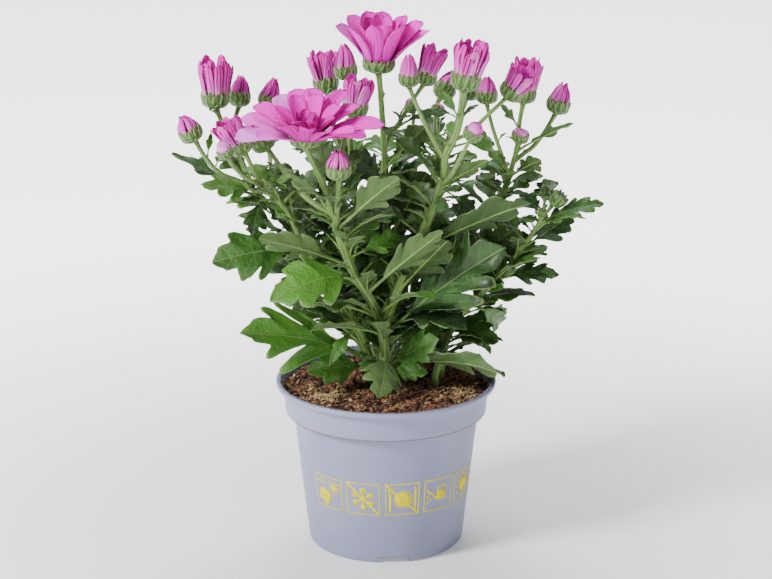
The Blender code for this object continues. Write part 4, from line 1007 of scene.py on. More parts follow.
class Blade:
    """A leaf's curved surface, from its base on the stem to its tip."""

    def __init__(self, leaf: Leaf, base: Vector, tip: Vector, face: Vector) -> None:
        """Set up the blade's own axes.

        Args:
            leaf: its plan.
            base: where it leaves the stem, in metres.
            tip: its tip.
            face: the way its upper side faces.
        """
        self.leaf = leaf
        self.base = base
        self.length = (tip - base).length
        self.axis = (tip - base).normalized()
        self.normal = (face - self.axis * face.dot(self.axis)).normalized()
        self.side = self.axis.cross(self.normal)
        self.petiole = min(0.30, 0.20 + 0.0025 / self.length)

    def point(self, along: float, across: float, lift: float = 0.0) -> Vector:
        """Return a place of the surface.

        Args:
            along: share of the length from base to tip.
            across: how far out to one side, as a share of the length.
            lift: height above the surface in metres.
        """
        slope = 4 * self.leaf.arch * (1 - 2 * along)
        upright = (self.normal - self.axis * slope).normalized()
        ripple = 0.10 * abs(across) * math.sin(9.0 * along + (1.2 if across > 0 else 0.0))
        crease = math.sqrt(across * across + 0.00015) - 0.0122
        rise = 4 * self.leaf.arch * along * (1 - along) + self.leaf.fold * crease + ripple
        flat = self.axis * along + self.side * across + self.normal * rise
        return self.base + flat * self.length + upright * lift

    def coarse(self) -> tuple[list[Vector], list[tuple]]:
        """Return a rough flat form of the blade, beyond its petiole, for testing what it meets."""
        shares = (0.35, 0.5, 0.65, 0.82, 1.0)
        span = 1 - self.petiole
        points = []
        for share in shares:
            half = (0.26 if share < 1 else 0.01) * self.leaf.width * span
            half *= math.sin(math.pi * min(share * 0.9 + 0.08, 1.0)) + 0.02
            points += [self.point(self.petiole + span * share, across) for across in (-half, 0.0, half)]
        faces = [(3 * i + j, 3 * i + j + 1, 3 * i + j + 4, 3 * i + j + 3)
                 for i in range(len(shares) - 1) for j in range(2)]
        return points, faces


@dataclass
class LeafDresser:
    """Turns blades into fine leaves with lobes, teeth, sunken veins and a stalk.

    Thickness and petiole are in mm, and what raises, lowers or shifts the surface is a share of the leaf's
    length. The side veins leave the midrib at shares of it from the first one on, a gap apart.
    """
    thickness: float = 0.35
    petiole_root: float = 1.05
    petiole_tip: float = 0.16
    rows: int = 38
    teeth: int = 9
    tooth_share: float = 0.022
    rib_steps: int = 8
    rib_depth: float = 0.006
    first_vein: float = 0.17
    vein_gap: float = 0.29
    quilt: float = 0.027
    wave: float = 0.024
    channel: float = 0.006
    channel_width: float = 0.012
    across: tuple = (-1.0, -0.82, -0.5, -0.2, 0.0, 0.2, 0.5, 0.82, 1.0)

    def build(self, shells: Shells, blade: Blade, draw: random.Random, fineness: float = 1.0) -> None:
        """Add one leaf.

        Args:
            shells: where its shells are gathered; slots 0 upper skin, 1 lower skin, 2 stem.
            blade: its surface.
            draw: random draw of its small irregularities.
            fineness: share of the usual rows, for small leaves.
        """
        rows = max(12, round(self.rows * fineness))
        teeth = max(4, round(self.teeth * min(1.0, fineness * 1.3)))
        span = 1 - blade.petiole
        table = np.array(blade.leaf.outline.value)
        run = np.linspace(0, len(table) - 1, rows)
        knots = np.column_stack((np.arange(len(table)), table))
        sides = []
        for _side in range(2):
            jitter = np.array([[0, draw.uniform(-0.016, 0.016), draw.uniform(-0.022, 0.022), 0]
                               for _row in table])
            jitter[0] = jitter[-1] = 0
            edge = spline(knots + jitter, run)
            edge[:, 1] = np.maximum(edge[:, 1], 0.004)
            phase = run / (len(table) - 1) * teeth + draw.uniform(0, 0.3)
            saw = (phase % 1.0) * self.tooth_share * np.minimum(1.0, edge[:, 1] / 0.12)
            edge[:, 0] += saw * 0.7
            edge[:, 1] += saw * (0.6 + 0.4 * np.sin(phase * 1.7))
            edge[-1] = (1.0, 0.003, 1.0)
            sides.append(edge)
        twist = draw.uniform(-0.22, 0.22)
        droop = draw.uniform(0.2, 1.0)
        wave = draw.uniform(0, 6.0)
        middle = np.zeros((rows, len(self.across), 3))
        uvs = np.zeros((rows, len(self.across), 2))
        for i in range(rows):
            for j, t in enumerate(self.across):
                edge_along, edge_out, rib = sides[0 if t < 0 else 1][i]
                size = abs(t)
                share = rib + (edge_along - rib) * size
                out = edge_out * t * blade.leaf.width
                along = blade.petiole + span * share
                phase = (rib - self.first_vein) / self.vein_gap
                ridge = math.cos(2 * math.pi * phase)
                quilt = (0.5 - ridge * 0.5) * self.quilt * size * min(1.0, edge_out * 5)
                curl = -droop * 0.30 * max(0.0, abs(out) - 0.08) * abs(out) / 0.2
                waviness = self.wave * size ** 3 * math.sin(14 * share + wave + (2 if t > 0 else 0))
                channel = -self.channel * math.exp(-(out / self.channel_width) ** 2)
                lift = (quilt + curl + waviness + channel + twist * out * share) * blade.length * span
                middle[i, j] = blade.point(along, span * out, lift)
                uvs[i, j] = (phase, t * min(1.0, edge_out * 6))
        tone = draw.uniform(0.05, 1.0)
        if blade.leaf.tone >= 0:
            tone = blade.leaf.tone
        thick = self.thickness * MM * min(1.0, 0.55 + blade.length * 9)
        shells.slab(middle, thick, uvs, tone, (1, 0) if blade.leaf.turned else (0, 1), blade.normal)
        shares = np.linspace(0, 0.97, self.rib_steps)
        radii = np.interp(shares, (0, 0.06, blade.petiole, 1.0), (1.25, 1.0, 0.7, self.petiole_tip / 1.05))
        radii = radii * self.petiole_root * MM * min(1.0, 0.35 + blade.length * 14)
        sunk = self.rib_depth * blade.length * span
        line = [blade.point(share, 0.0, -float(radius) * 0.75 - sunk * (share > blade.petiole))
                for share, radius in zip(shares, radii)]
        shells.tube(line, radii, 6, tone=0.6, slot=2)


class Placer:
    """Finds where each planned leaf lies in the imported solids, and keeps other leaves clear of them."""

    def __init__(self, nodes: dict) -> None:
        """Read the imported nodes.

        Args:
            nodes: packed objects by name.
        """
        self.trees = {}
        self.solids = []
        for name, node in nodes.items():
            vertices = [vertex.co.copy() for vertex in node.data.vertices]
            if name.startswith("shoot_"):
                tree = KDTree(len(vertices))
                for index, place in enumerate(vertices):
                    tree.insert(place, index)
                tree.balance()
                self.trees[name] = tree
            faces = [tuple(face.vertices) for face in node.data.polygons]
            self.solids.append(BVHTree.FromPolygons(vertices, faces))
        steps = range(-SWING_TRIES, SWING_TRIES + 1)
        swings = [(yaw * SWING_STEP, lift * LIFT_STEP) for yaw in steps for lift in steps]
        self.swings = sorted(swings, key=lambda pair: (pair[0] ** 2 + pair[1] ** 2, pair))

    def match(self, shoot: str, stalks: tuple, leaf: Leaf, shrinks: tuple) -> Blade | None:
        """Return the blade of a planned leaf as its solid was placed, or nothing if it was left out.

        Args:
            shoot: node that carries it.
            stalks: the shoot's stalks.
            leaf: the leaf's plan.
            shrinks: sizes to try.
        """
        base = nearest_on_stalks(stalks, Vector(leaf.base) * MM)
        reach = (Vector(leaf.tip) - Vector(leaf.base)) * MM
        side = reach.cross(UP_AXIS).normalized()
        for shrink in shrinks:
            for yaw, lift in self.swings:
                turn = Matrix.Rotation(yaw, 3, "Z") @ Matrix.Rotation(lift, 3, side)
                tip = base + turn @ reach * shrink
                if self.trees[shoot].find(tip)[2] < TIP_MATCH:
                    return Blade(leaf, base, tip, turn @ Vector(leaf.face))
        return None

    def free(self, blade: Blade) -> bool:
        """Say whether a new blade clears all solids and kept leaves, and keep it if it does."""
        tree = BVHTree.FromPolygons(*blade.coarse())
        if any(tree.overlap(other) for other in self.solids):
            return False
        self.solids.append(tree)
        return True


def head_frame(head: Head, foot: Vector) -> Matrix:
    """Return the frame of a head: its origin at the stalk's end and +Z the way that it faces."""
    return Matrix.Translation(foot) @ Vector(head.aim).to_track_quat("Z", "Y").to_matrix().to_4x4()


# Widths along a floret or bract, foot to tip: share along it, and share of its greatest width
FLORET_WIDTHS = ((0, 0.30), (0.15, 0.50), (0.38, 0.86), (0.62, 1.0), (0.82, 0.97), (0.93, 0.74),
                 (0.985, 0.42), (1, 0.12))
POINTED_WIDTHS = ((0, 0.32), (0.2, 0.55), (0.45, 0.95), (0.62, 1.0), (0.8, 0.76), (0.92, 0.40), (1, 0.05))
BUD_WIDTHS = ((0, 0.80), (0.3, 1.0), (0.6, 0.92), (0.8, 0.72), (0.93, 0.45), (1, 0.10))
HALF_WIDTHS = ((0, 0.62), (0.3, 0.86), (0.6, 1.0), (0.84, 1.0), (0.94, 0.88), (0.985, 0.62), (1, 0.24))
BRACT_WIDTHS = ((0, 0.80), (0.25, 1.0), (0.5, 0.95), (0.72, 0.70), (0.88, 0.42), (1, 0.06))


@dataclass(frozen=True)
class Ray:
    """A petal or bract of a head: its middle line as (out, up) from foot to tip in mm, and its form.

    The bearing and sweep are in radians, half width, thickness and ridge in mm, and curl is half the angle
    that the section bends through, at the foot and at the tip.
    """
    line: tuple
    bearing: float
    half_width: float
    sweep: float = 0.0
    curl: float = 0.3
    tip_curl: float = 0.3
    roll: float = 0.0
    thickness: float = 0.4
    ridge: float = 0.12
    bend: float = 0.0
    widths: tuple = FLORET_WIDTHS

    def surface(self, rows: int, columns: int) -> tuple[np.ndarray, np.ndarray]:
        """Return the points of its middle surface in the head's frame, in metres, and their UV places."""
        s = 1 - (1 - np.linspace(0, 1, rows)) ** 1.6
        t = np.linspace(-1, 1, columns)
        line = np.array(self.line, dtype=float)
        steps = np.concatenate(((0.0,), np.cumsum(np.linalg.norm(np.diff(line, axis=0), axis=1))))
        curve = spline(np.column_stack((steps / steps[-1], line)), s)
        radius, height = curve[:, 0], curve[:, 1]
        run_out, run_up = np.gradient(radius, s), np.gradient(height, s)
        size = np.hypot(run_out, run_up)
        angle = self.bearing + self.sweep * s
        out = np.column_stack((np.cos(angle), np.sin(angle), np.zeros(rows)))
        turn = np.column_stack((-np.sin(angle), np.cos(angle), np.zeros(rows)))
        inward = out * (-run_up / size)[:, None] + np.array(UP) * (run_out / size)[:, None]
        curl = np.maximum(1e-3, self.curl + (self.tip_curl - self.curl) * s)
        width = self.half_width * spline(self.widths, s)
        arc = curl[:, None] * t
        across = (width / curl)[:, None] * np.sin(arc) + (self.bend * s * s)[:, None]
        ridges = self.ridge * np.cos(3.5 * np.pi * t)[None, :] * (1 - s ** 4)[:, None]
        lag = 0.04 * steps[-1] * (t ** 2)[None, :] * (s ** 6)[:, None]
        rise = ((width / curl)[:, None] * (1 - np.cos(arc))
                + self.roll * width[:, None] * t * s[:, None] + ridges)
        ahead = out * (run_out / size)[:, None] + np.array(UP) * (run_up / size)[:, None]
        middle = ((out * radius[:, None] + np.array(UP) * height[:, None])[:, None, :]
                  + turn[:, None, :] * across[:, :, None] + inward[:, None, :] * rise[:, :, None]
                  - ahead[:, None, :] * lag[:, :, None])
        uvs = np.stack(np.broadcast_arrays(s[:, None], t[None, :]), axis=2)
        return middle * MM, uvs

    def build(self, shells: Shells, place: Matrix, tone: float, slots: tuple[int, int] = (0, 1),
              rows: int = 13, columns: int = 7) -> None:
        """Add the petal, seated in the world by its head's frame.

        Args:
            shells: where it is gathered.
            place: the head's frame.
            tone: shade.
            slots: material slots of the inner and the outer side.
            rows: rows of points from foot to tip.
            columns: points across.
        """
        middle, uvs = self.surface(rows, columns)
        turn = np.array(place.to_3x3())
        middle = middle @ turn.T + np.array(place.translation)
        heart = np.array([math.cos(self.bearing), math.sin(self.bearing), 0.0])
        line = np.array(self.line, dtype=float)
        run = line[-1] - line[0]
        facing = turn @ (heart * -run[1] + np.array(UP) * run[0])
        thick = self.thickness * MM * np.linspace(1.15, 0.75, rows)[:, None] * np.ones((1, columns))
        shells.slab(middle, thick, uvs, tone, slots, Vector(facing))


def lathe(shells: Shells, profile: tuple, place: Matrix, steps: int, tone: float, slot: int) -> None:
    """Add a solid turned from a profile.

    Args:
        shells: where it is gathered.
        profile: (radius, height) pairs in mm, from low to high.
        place: frame that it is turned in.
        steps: sides.
        tone: shade.
        slot: material slot.
    """
    turns = np.arange(steps) * 2 * math.pi / steps
    turn = np.array(place.to_3x3())
    rings = []
    uvs = []
    for radius, height in profile:
        ring = np.column_stack((np.cos(turns) * radius, np.sin(turns) * radius, np.full(steps, height))) * MM
        rings.append(ring @ turn.T + np.array(place.translation))
        uvs.append(np.column_stack((turns / (2 * math.pi), np.full(steps, height / 10))))
    shells.loft(np.array(rings), np.array(uvs), tone, slot)


@dataclass
class Cup:
    """The green cup under a head: a rounded body wrapped in three rows of overlapping bracts."""
    head: Head
    place: Matrix

    @property
    def height(self) -> float:
        """Return the cup's height in mm."""
        shares = {BLOOM: 0.80, HALF: 1.15, BUD: 1.15, BUTTON: 1.20, GREEN: 1.6}
        return self.head.radius * shares[self.head.stage]

    def profile(self) -> np.ndarray:
        """Return the body's (radius, height) pairs from the stalk to the rim."""
        r, h = self.head.radius, self.height
        return np.array(((0.16 * r, -0.6), (0.50 * r, 0.02 * h), (0.83 * r, 0.22 * h), (0.97 * r, 0.55 * h),
                         (0.96 * r, 0.95 * h), (0.6 * r, 1.0 * h), (0.3 * r, 0.8 * h)))

    def build(self, shells: Shells, draw: random.Random) -> None:
        """Add the body and its bracts; slot 2 is stem skin and slot 3 bract."""
        lathe(shells, tuple(map(tuple, self.profile())), self.place, 20, 0.0, 2)
        r, h = self.head.radius, self.height
        knots = np.array(((0.0, 0.16 * r, -0.4), (0.12, 0.50 * r, 0.03 * h), (0.36, 0.86 * r, 0.24 * h),
                          (0.65, 1.0 * r, 0.58 * h), (1.0, 0.99 * r, 1.0 * h), (1.2, 0.93 * r, 1.18 * h)))
        for start, end, gap, count, part in ((0.30, 1.26, 0.12, 13, 0.58), (0.10, 1.06, 0.30, 12, 0.48),
                                             (0.06, 0.56, 0.44, 8, 0.36)):
            first = draw.uniform(0, 6)
            for index in range(count):
                top = end + draw.uniform(-0.10, 0.07)
                line = spline(knots, np.linspace(start, top, 5))
                line = line + np.column_stack((np.linspace(gap * 0.8, gap + draw.uniform(-0.1, 0.15), 5),
                                               np.zeros(5)))
                radius = float(line[:, 0].max())
                half = part * 2 * math.pi * radius / count * 1.15
                tone = draw.random() * (self.head.stage is not GREEN)
                bearing = first + 2 * math.pi * (index + draw.uniform(-0.12, 0.12)) / count
                Ray(tuple(map(tuple, line)), bearing, half, 0.0, half / radius, 1.1 * half / radius, 0.0,
                    0.24, 0.02, widths=BRACT_WIDTHS).build(shells, self.place, tone, (3, 3), 6, 4)
        if self.head.stage is GREEN:
            self.close(shells, draw)

    def close(self, shells: Shells, draw: random.Random) -> None:
        """Close a green bud with pointed bracts that meet over its top."""
        r, h, top = self.head.radius, self.height, self.head.length
        lathe(shells, ((0.7 * r, 0.5 * h), (0.8 * r, 0.8 * h), (0.62 * r, 0.5 * (h + top)),
                       (0.25 * r, 0.94 * top)), self.place, 16, 0.6, 2)
        for index in range(9):
            line = ((0.86 * r, 0.35 * h), (1.0 * r, 0.72 * h), (0.86 * r, 0.96 * h + 0.1 * (top - h)),
                    (0.42 * r, h + 0.75 * (top - h)), (0.10 * r, top + draw.uniform(-0.4, 0.3)))
            Ray(line, 2 * math.pi * index / 9, 0.5 * r, 0.12, 0.55, 0.5, 0.12, 0.35, 0.05,
                widths=BRACT_WIDTHS).build(shells, self.place, 0.0, (3, 3), 10, 7)


@dataclass
class Petals:
    """The petals of one head, by its stage; slot 0 is a floret's inner side and slot 1 its outer side."""
    head: Head
    place: Matrix

    def build(self) -> bpy.types.Object:
        """Make the head's petals one piece in place of their CAD node."""
        shells = Shells()
        draw = random.Random(self.head.name)
        forms = {BLOOM: self.bloom, HALF: self.half, BUD: self.bud, BUTTON: self.button}
        forms[self.head.stage](shells, draw)
        outer = FLORET_OUTER if self.head.stage is BLOOM else FLORET_CLOSED
        return shells.build("fine_petals_" + self.head.name, [FLORET_INNER, outer], "petals",
                            ("petals_" + self.head.name,))

    def shaded_core(self, shells: Shells, radius: float, low: float, high: float) -> None:
        """Add the dark inside that shows between the florets, toned so that it takes full painted shade."""
        lathe(shells, ((0.75 * radius, low), (radius, low + 0.3 * (high - low)),
                       (0.8 * radius, low + 0.7 * (high - low)), (0.2 * radius, high)),
              self.place, 16, 0.0, 1)

    def bud(self, shells: Shells, draw: random.Random) -> None:
        """Wrap a closed bud in twisted florets whose edges overlap."""
        r, top = self.head.radius, self.head.length
        h = 1.15 * r
        self.shaded_core(shells, 0.66 * r, 0.4 * h, 0.84 * top)
        for count, out, width in ((10, 1.0, 0.33), (7, 0.70, 0.34)):
            for index in range(count):
                tall = top + draw.uniform(-2.6, 0.0) * (1 if out == 1.0 else 0.3)
                swell = out * draw.uniform(0.92, 1.05)
                line = ((0.78 * r * swell, 0.40 * h), (0.92 * r * swell, 0.95 * h),
                        (0.86 * r * swell, h + 0.32 * (tall - h)), (0.60 * r * swell, h + 0.70 * (tall - h)),
                        (0.22 * r, tall))
                Ray(line, 2 * math.pi * (index + draw.uniform(-0.18, 0.18)) / count, width * r,
                    draw.uniform(0.3, 0.6), 1.1, 1.7, draw.uniform(-0.1, 0.35), 0.36, 0.10,
                    draw.uniform(-0.5, 0.5), BUD_WIDTHS).build(
                        shells, self.place, draw.uniform(0.15, 0.8), rows=12)

    def half(self, shells: Shells, draw: random.Random) -> None:
        """Fill a half-open head with upright florets folded along their middle."""
        r, top = self.head.radius, self.head.length
        h = 1.15 * r
        self.shaded_core(shells, 0.60 * r, 0.4 * h, 0.72 * top)
        for count, out, tall, width, curl in ((11, 1.0, 0.96, 0.37, 1.5), (9, 0.78, 1.0, 0.34, 1.3),
                                              (6, 0.46, 0.95, 0.30, 1.0)):
            first = draw.uniform(0, 6)
            for index in range(count):
                end = top * (tall + draw.uniform(-0.15, 0.04))
                swell = out * r * draw.uniform(0.92, 1.08)
                line = ((out * 0.78 * r, 0.38 * h), (0.95 * swell, h), (1.12 * swell, h + 0.42 * (end - h)),
                        (1.26 * swell, h + 0.76 * (end - h)), (draw.uniform(1.0, 1.35) * swell, end))
                Ray(line, first + 2 * math.pi * (index + draw.uniform(-0.35, 0.35)) / count, width * r,
                    draw.uniform(-0.15, 0.35), curl, curl * draw.uniform(0.15, 0.5),
                    draw.uniform(-0.35, 0.35), 0.40, 0.12, draw.uniform(-1.4, 1.4),
                    HALF_WIDTHS).build(shells, self.place, draw.uniform(0.24, 0.84))

    def button(self, shells: Shells, draw: random.Random) -> None:
        """Show the pale tips of florets in the middle of a small closed bud."""
        r, top = self.head.radius, self.head.length
        h = 1.20 * r
        self.shaded_core(shells, 0.70 * r, 0.4 * h, 0.9 * top)
        for index in range(8):
            line = ((0.66 * r, 0.5 * h), (0.80 * r, 0.85 * h), (0.72 * r, h + 0.4 * (top - h)),
                    (0.30 * r, h + 0.85 * (top - h)), (0.10 * r, top + draw.uniform(-0.5, 0)))
            Ray(line, 2 * math.pi * index / 8, 0.46 * r, 0.5, 0.5, 0.8, 0.2, 0.4, 0.08).build(
                shells, self.place, draw.uniform(0.6, 1.1), rows=10)

    def bloom(self, shells: Shells, draw: random.Random) -> None:
        """Set the open bloom's florets as listed, and small folded ones at its centre."""
        turn = self.place.to_3x3() @ Vector((1, 0, 0))
        first = math.atan2(turn.y, turn.x)
        r = self.head.radius
        self.shaded_core(shells, 0.5 * r, 0.24 * r, 0.75 * r)
        for bearing, rise, length, width, root, droop, curl, roll, tone in BLOOMS[self.head.name]:
            rise += draw.uniform(-1.5, 1.5)
            place = np.array((r * root, r * 0.38))
            line = [tuple(place)]
            for index in range(5):
                angle = math.radians(rise + 14 - 18 * index / 4 * (0.6 + droop))
                place = place + np.array((math.cos(angle), math.sin(angle))) * length / 5
                line.append(tuple(place))
            Ray(tuple(line), math.radians(bearing) - first, width / 2, draw.uniform(-0.08, 0.08), 0.6,
                curl, roll, 0.42, 0.14, draw.uniform(-1.2, 1.2),
                FLORET_WIDTHS if draw.random() < 0.9 else POINTED_WIDTHS).build(
                    shells, self.place, tone + draw.uniform(-0.12, 0.12), rows=16, columns=9)


# Open blooms: each floret's bearing and rise in degrees, length and width in mm, root as a share of the cup's
# radius, droop, curl in radians, roll and tone, which paints shade on low values and highlights on high ones
BLOOMS = {
    "bloom_front": (
        (190, 2, 31, 13.0, 0.72, 0.6, 0.30, -0.30, 0.95), (168, 17, 31, 12.0, 0.66, 0.8, 0.4, -0.3, 0.8),
        (146, 27, 30, 12.0, 0.66, 0.8, 0.5, -0.2, 0.6), (120, 33, 29, 14.5, 0.64, 0.6, 0.3, -0.10, 0.95),
        (99, 36, 30, 12.0, 0.64, 0.6, 0.5, -0.1, 0.5), (80, 36, 31, 12.0, 0.64, 0.6, 0.4, 0.2, 0.5),
        (62, 35, 31, 12.0, 0.64, 0.7, 0.5, -0.2, 0.5), (45, 34, 32, 9.5, 0.66, 0.4, 1.1, 0.3, 0.4),
        (30, 26, 31, 11.5, 0.66, 0.7, 0.6, 0.2, 0.5), (10, 9, 36, 14.0, 0.72, 0.7, 0.30, 0.25, 0.5),
        (350, 8, 27, 12.0, 0.72, 0.7, 0.4, 0.2, 0.4), (328, 18, 25, 11.0, 0.72, 0.4, 0.8, 0.2, 0.3),
        (300, 24, 27, 10.5, 0.72, 0.3, 0.9, 0.2, 0.2), (272, 29, 27, 11.0, 0.72, 0.3, 0.9, -0.1, 0.15),
        (244, 28, 29, 13.0, 0.72, 0.3, 0.6, 0.2, 0.3), (214, 14, 26, 13.0, 0.72, 0.6, 0.5, -0.3, 0.9),
        (255, 52, 16, 8.5, 0.48, 0.1, 1.1, 0.2, 0.3), (290, 54, 15, 8.5, 0.48, 0.1, 1.2, -0.2, 0.3),
        (335, 44, 19, 8.5, 0.48, 0.3, 1.1, 0.2, 0.4), (20, 42, 23, 9.5, 0.46, 0.3, 0.9, 0.2, 0.5),
        (65, 48, 25, 10.0, 0.46, 0.3, 0.8, -0.2, 0.5), (110, 48, 24, 10.0, 0.46, 0.3, 0.8, 0.2, 0.5),
        (155, 42, 22, 9.5, 0.46, 0.3, 1.0, -0.2, 0.5), (200, 40, 19, 9.0, 0.48, 0.3, 1.1, 0.2, 0.4),
        (260, 66, 12, 7.0, 0.26, 0.0, 1.4, 0.2, 0.2), (320, 66, 12, 6.5, 0.24, 0.0, 1.4, -0.2, 0.2),
        (20, 66, 15, 7.5, 0.24, 0.0, 1.3, 0.2, 0.3), (80, 66, 16, 7.5, 0.24, 0.0, 1.2, 0.2, 0.3),
        (140, 64, 15, 7.5, 0.24, 0.0, 1.3, -0.2, 0.3), (200, 64, 12, 6.5, 0.26, 0.0, 1.4, 0.2, 0.2)),
    "bloom_top": (
        (180, 45, 28, 12.0, 0.66, 0.5, 0.6, -0.35, 0.8), (213, 51, 27, 13.0, 0.66, 0.4, 0.7, -0.2, 0.68),
        (247, 63, 28, 12.5, 0.66, 0.4, 0.9, 0.2, 0.6), (281, 66, 27, 11.5, 0.66, 0.4, 1.0, -0.1, 0.3),
        (314, 60, 28, 12.5, 0.66, 0.4, 0.9, 0.2, 0.55), (348, 43, 30, 13.5, 0.66, 0.5, 0.5, 0.35, 0.78),
        (18, 48, 30, 12.0, 0.64, 0.5, 0.6, 0.3, 0.5), (52, 56, 29, 12.0, 0.64, 0.4, 0.6, -0.2, 0.4),
        (88, 60, 29, 12.0, 0.64, 0.4, 0.6, 0.2, 0.5), (122, 59, 29, 12.0, 0.64, 0.4, 0.6, -0.1, 0.5),
        (152, 54, 29, 11.5, 0.64, 0.4, 0.6, -0.3, 0.7),
        (198, 62, 26, 11.0, 0.46, 0.2, 0.8, -0.2, 0.4), (232, 68, 23, 10.5, 0.44, 0.1, 1.0, 0.2, 0.3),
        (268, 71, 22, 10.0, 0.44, 0.1, 1.0, -0.2, 0.3), (302, 69, 23, 10.5, 0.44, 0.1, 1.0, 0.2, 0.3),
        (338, 62, 26, 11.0, 0.46, 0.2, 0.8, 0.2, 0.4), (10, 68, 26, 10.5, 0.44, 0.1, 0.8, 0.2, 0.4),
        (60, 72, 27, 10.5, 0.44, 0.1, 0.8, -0.2, 0.5), (105, 73, 27, 10.5, 0.44, 0.1, 0.8, 0.2, 0.5),
        (150, 69, 26, 10.0, 0.44, 0.1, 0.8, -0.2, 0.4),
        (235, 80, 17, 8.0, 0.22, 0.0, 1.2, 0.2, 0.2), (320, 80, 18, 8.0, 0.22, 0.0, 1.2, -0.2, 0.2),
        (40, 82, 20, 8.0, 0.22, 0.0, 1.1, 0.2, 0.3), (130, 80, 19, 8.0, 0.22, 0.0, 1.1, 0.2, 0.3))}


# Small leaves seen in the photograph that the solids leave out: shoot, base, tip, outline and width
SMALL_LEAVES = {
    "shoot_centre": (((30, -26, 216), (48, -8, 218), PLAIN, 0.9), ((30, -26, 219), (24, -6, 229), SLIM, 1.4)),
    "shoot_right": (((62, 0, 196), (50, -10, 205), SLIM, 1.6), ((65, -3, 207), (52, 8, 219), SLIM, 1.4),
                    ((79, -17, 178), (69, -26, 182), SLIM, 1.3)),
    "shoot_left": (((-88, 5, 235), (-93, -6, 242), SLIM, 1.6),),
    "shoot_left_front": (((-53, -27, 196), (-64, -40, 213), PLAIN, 0.9),)}


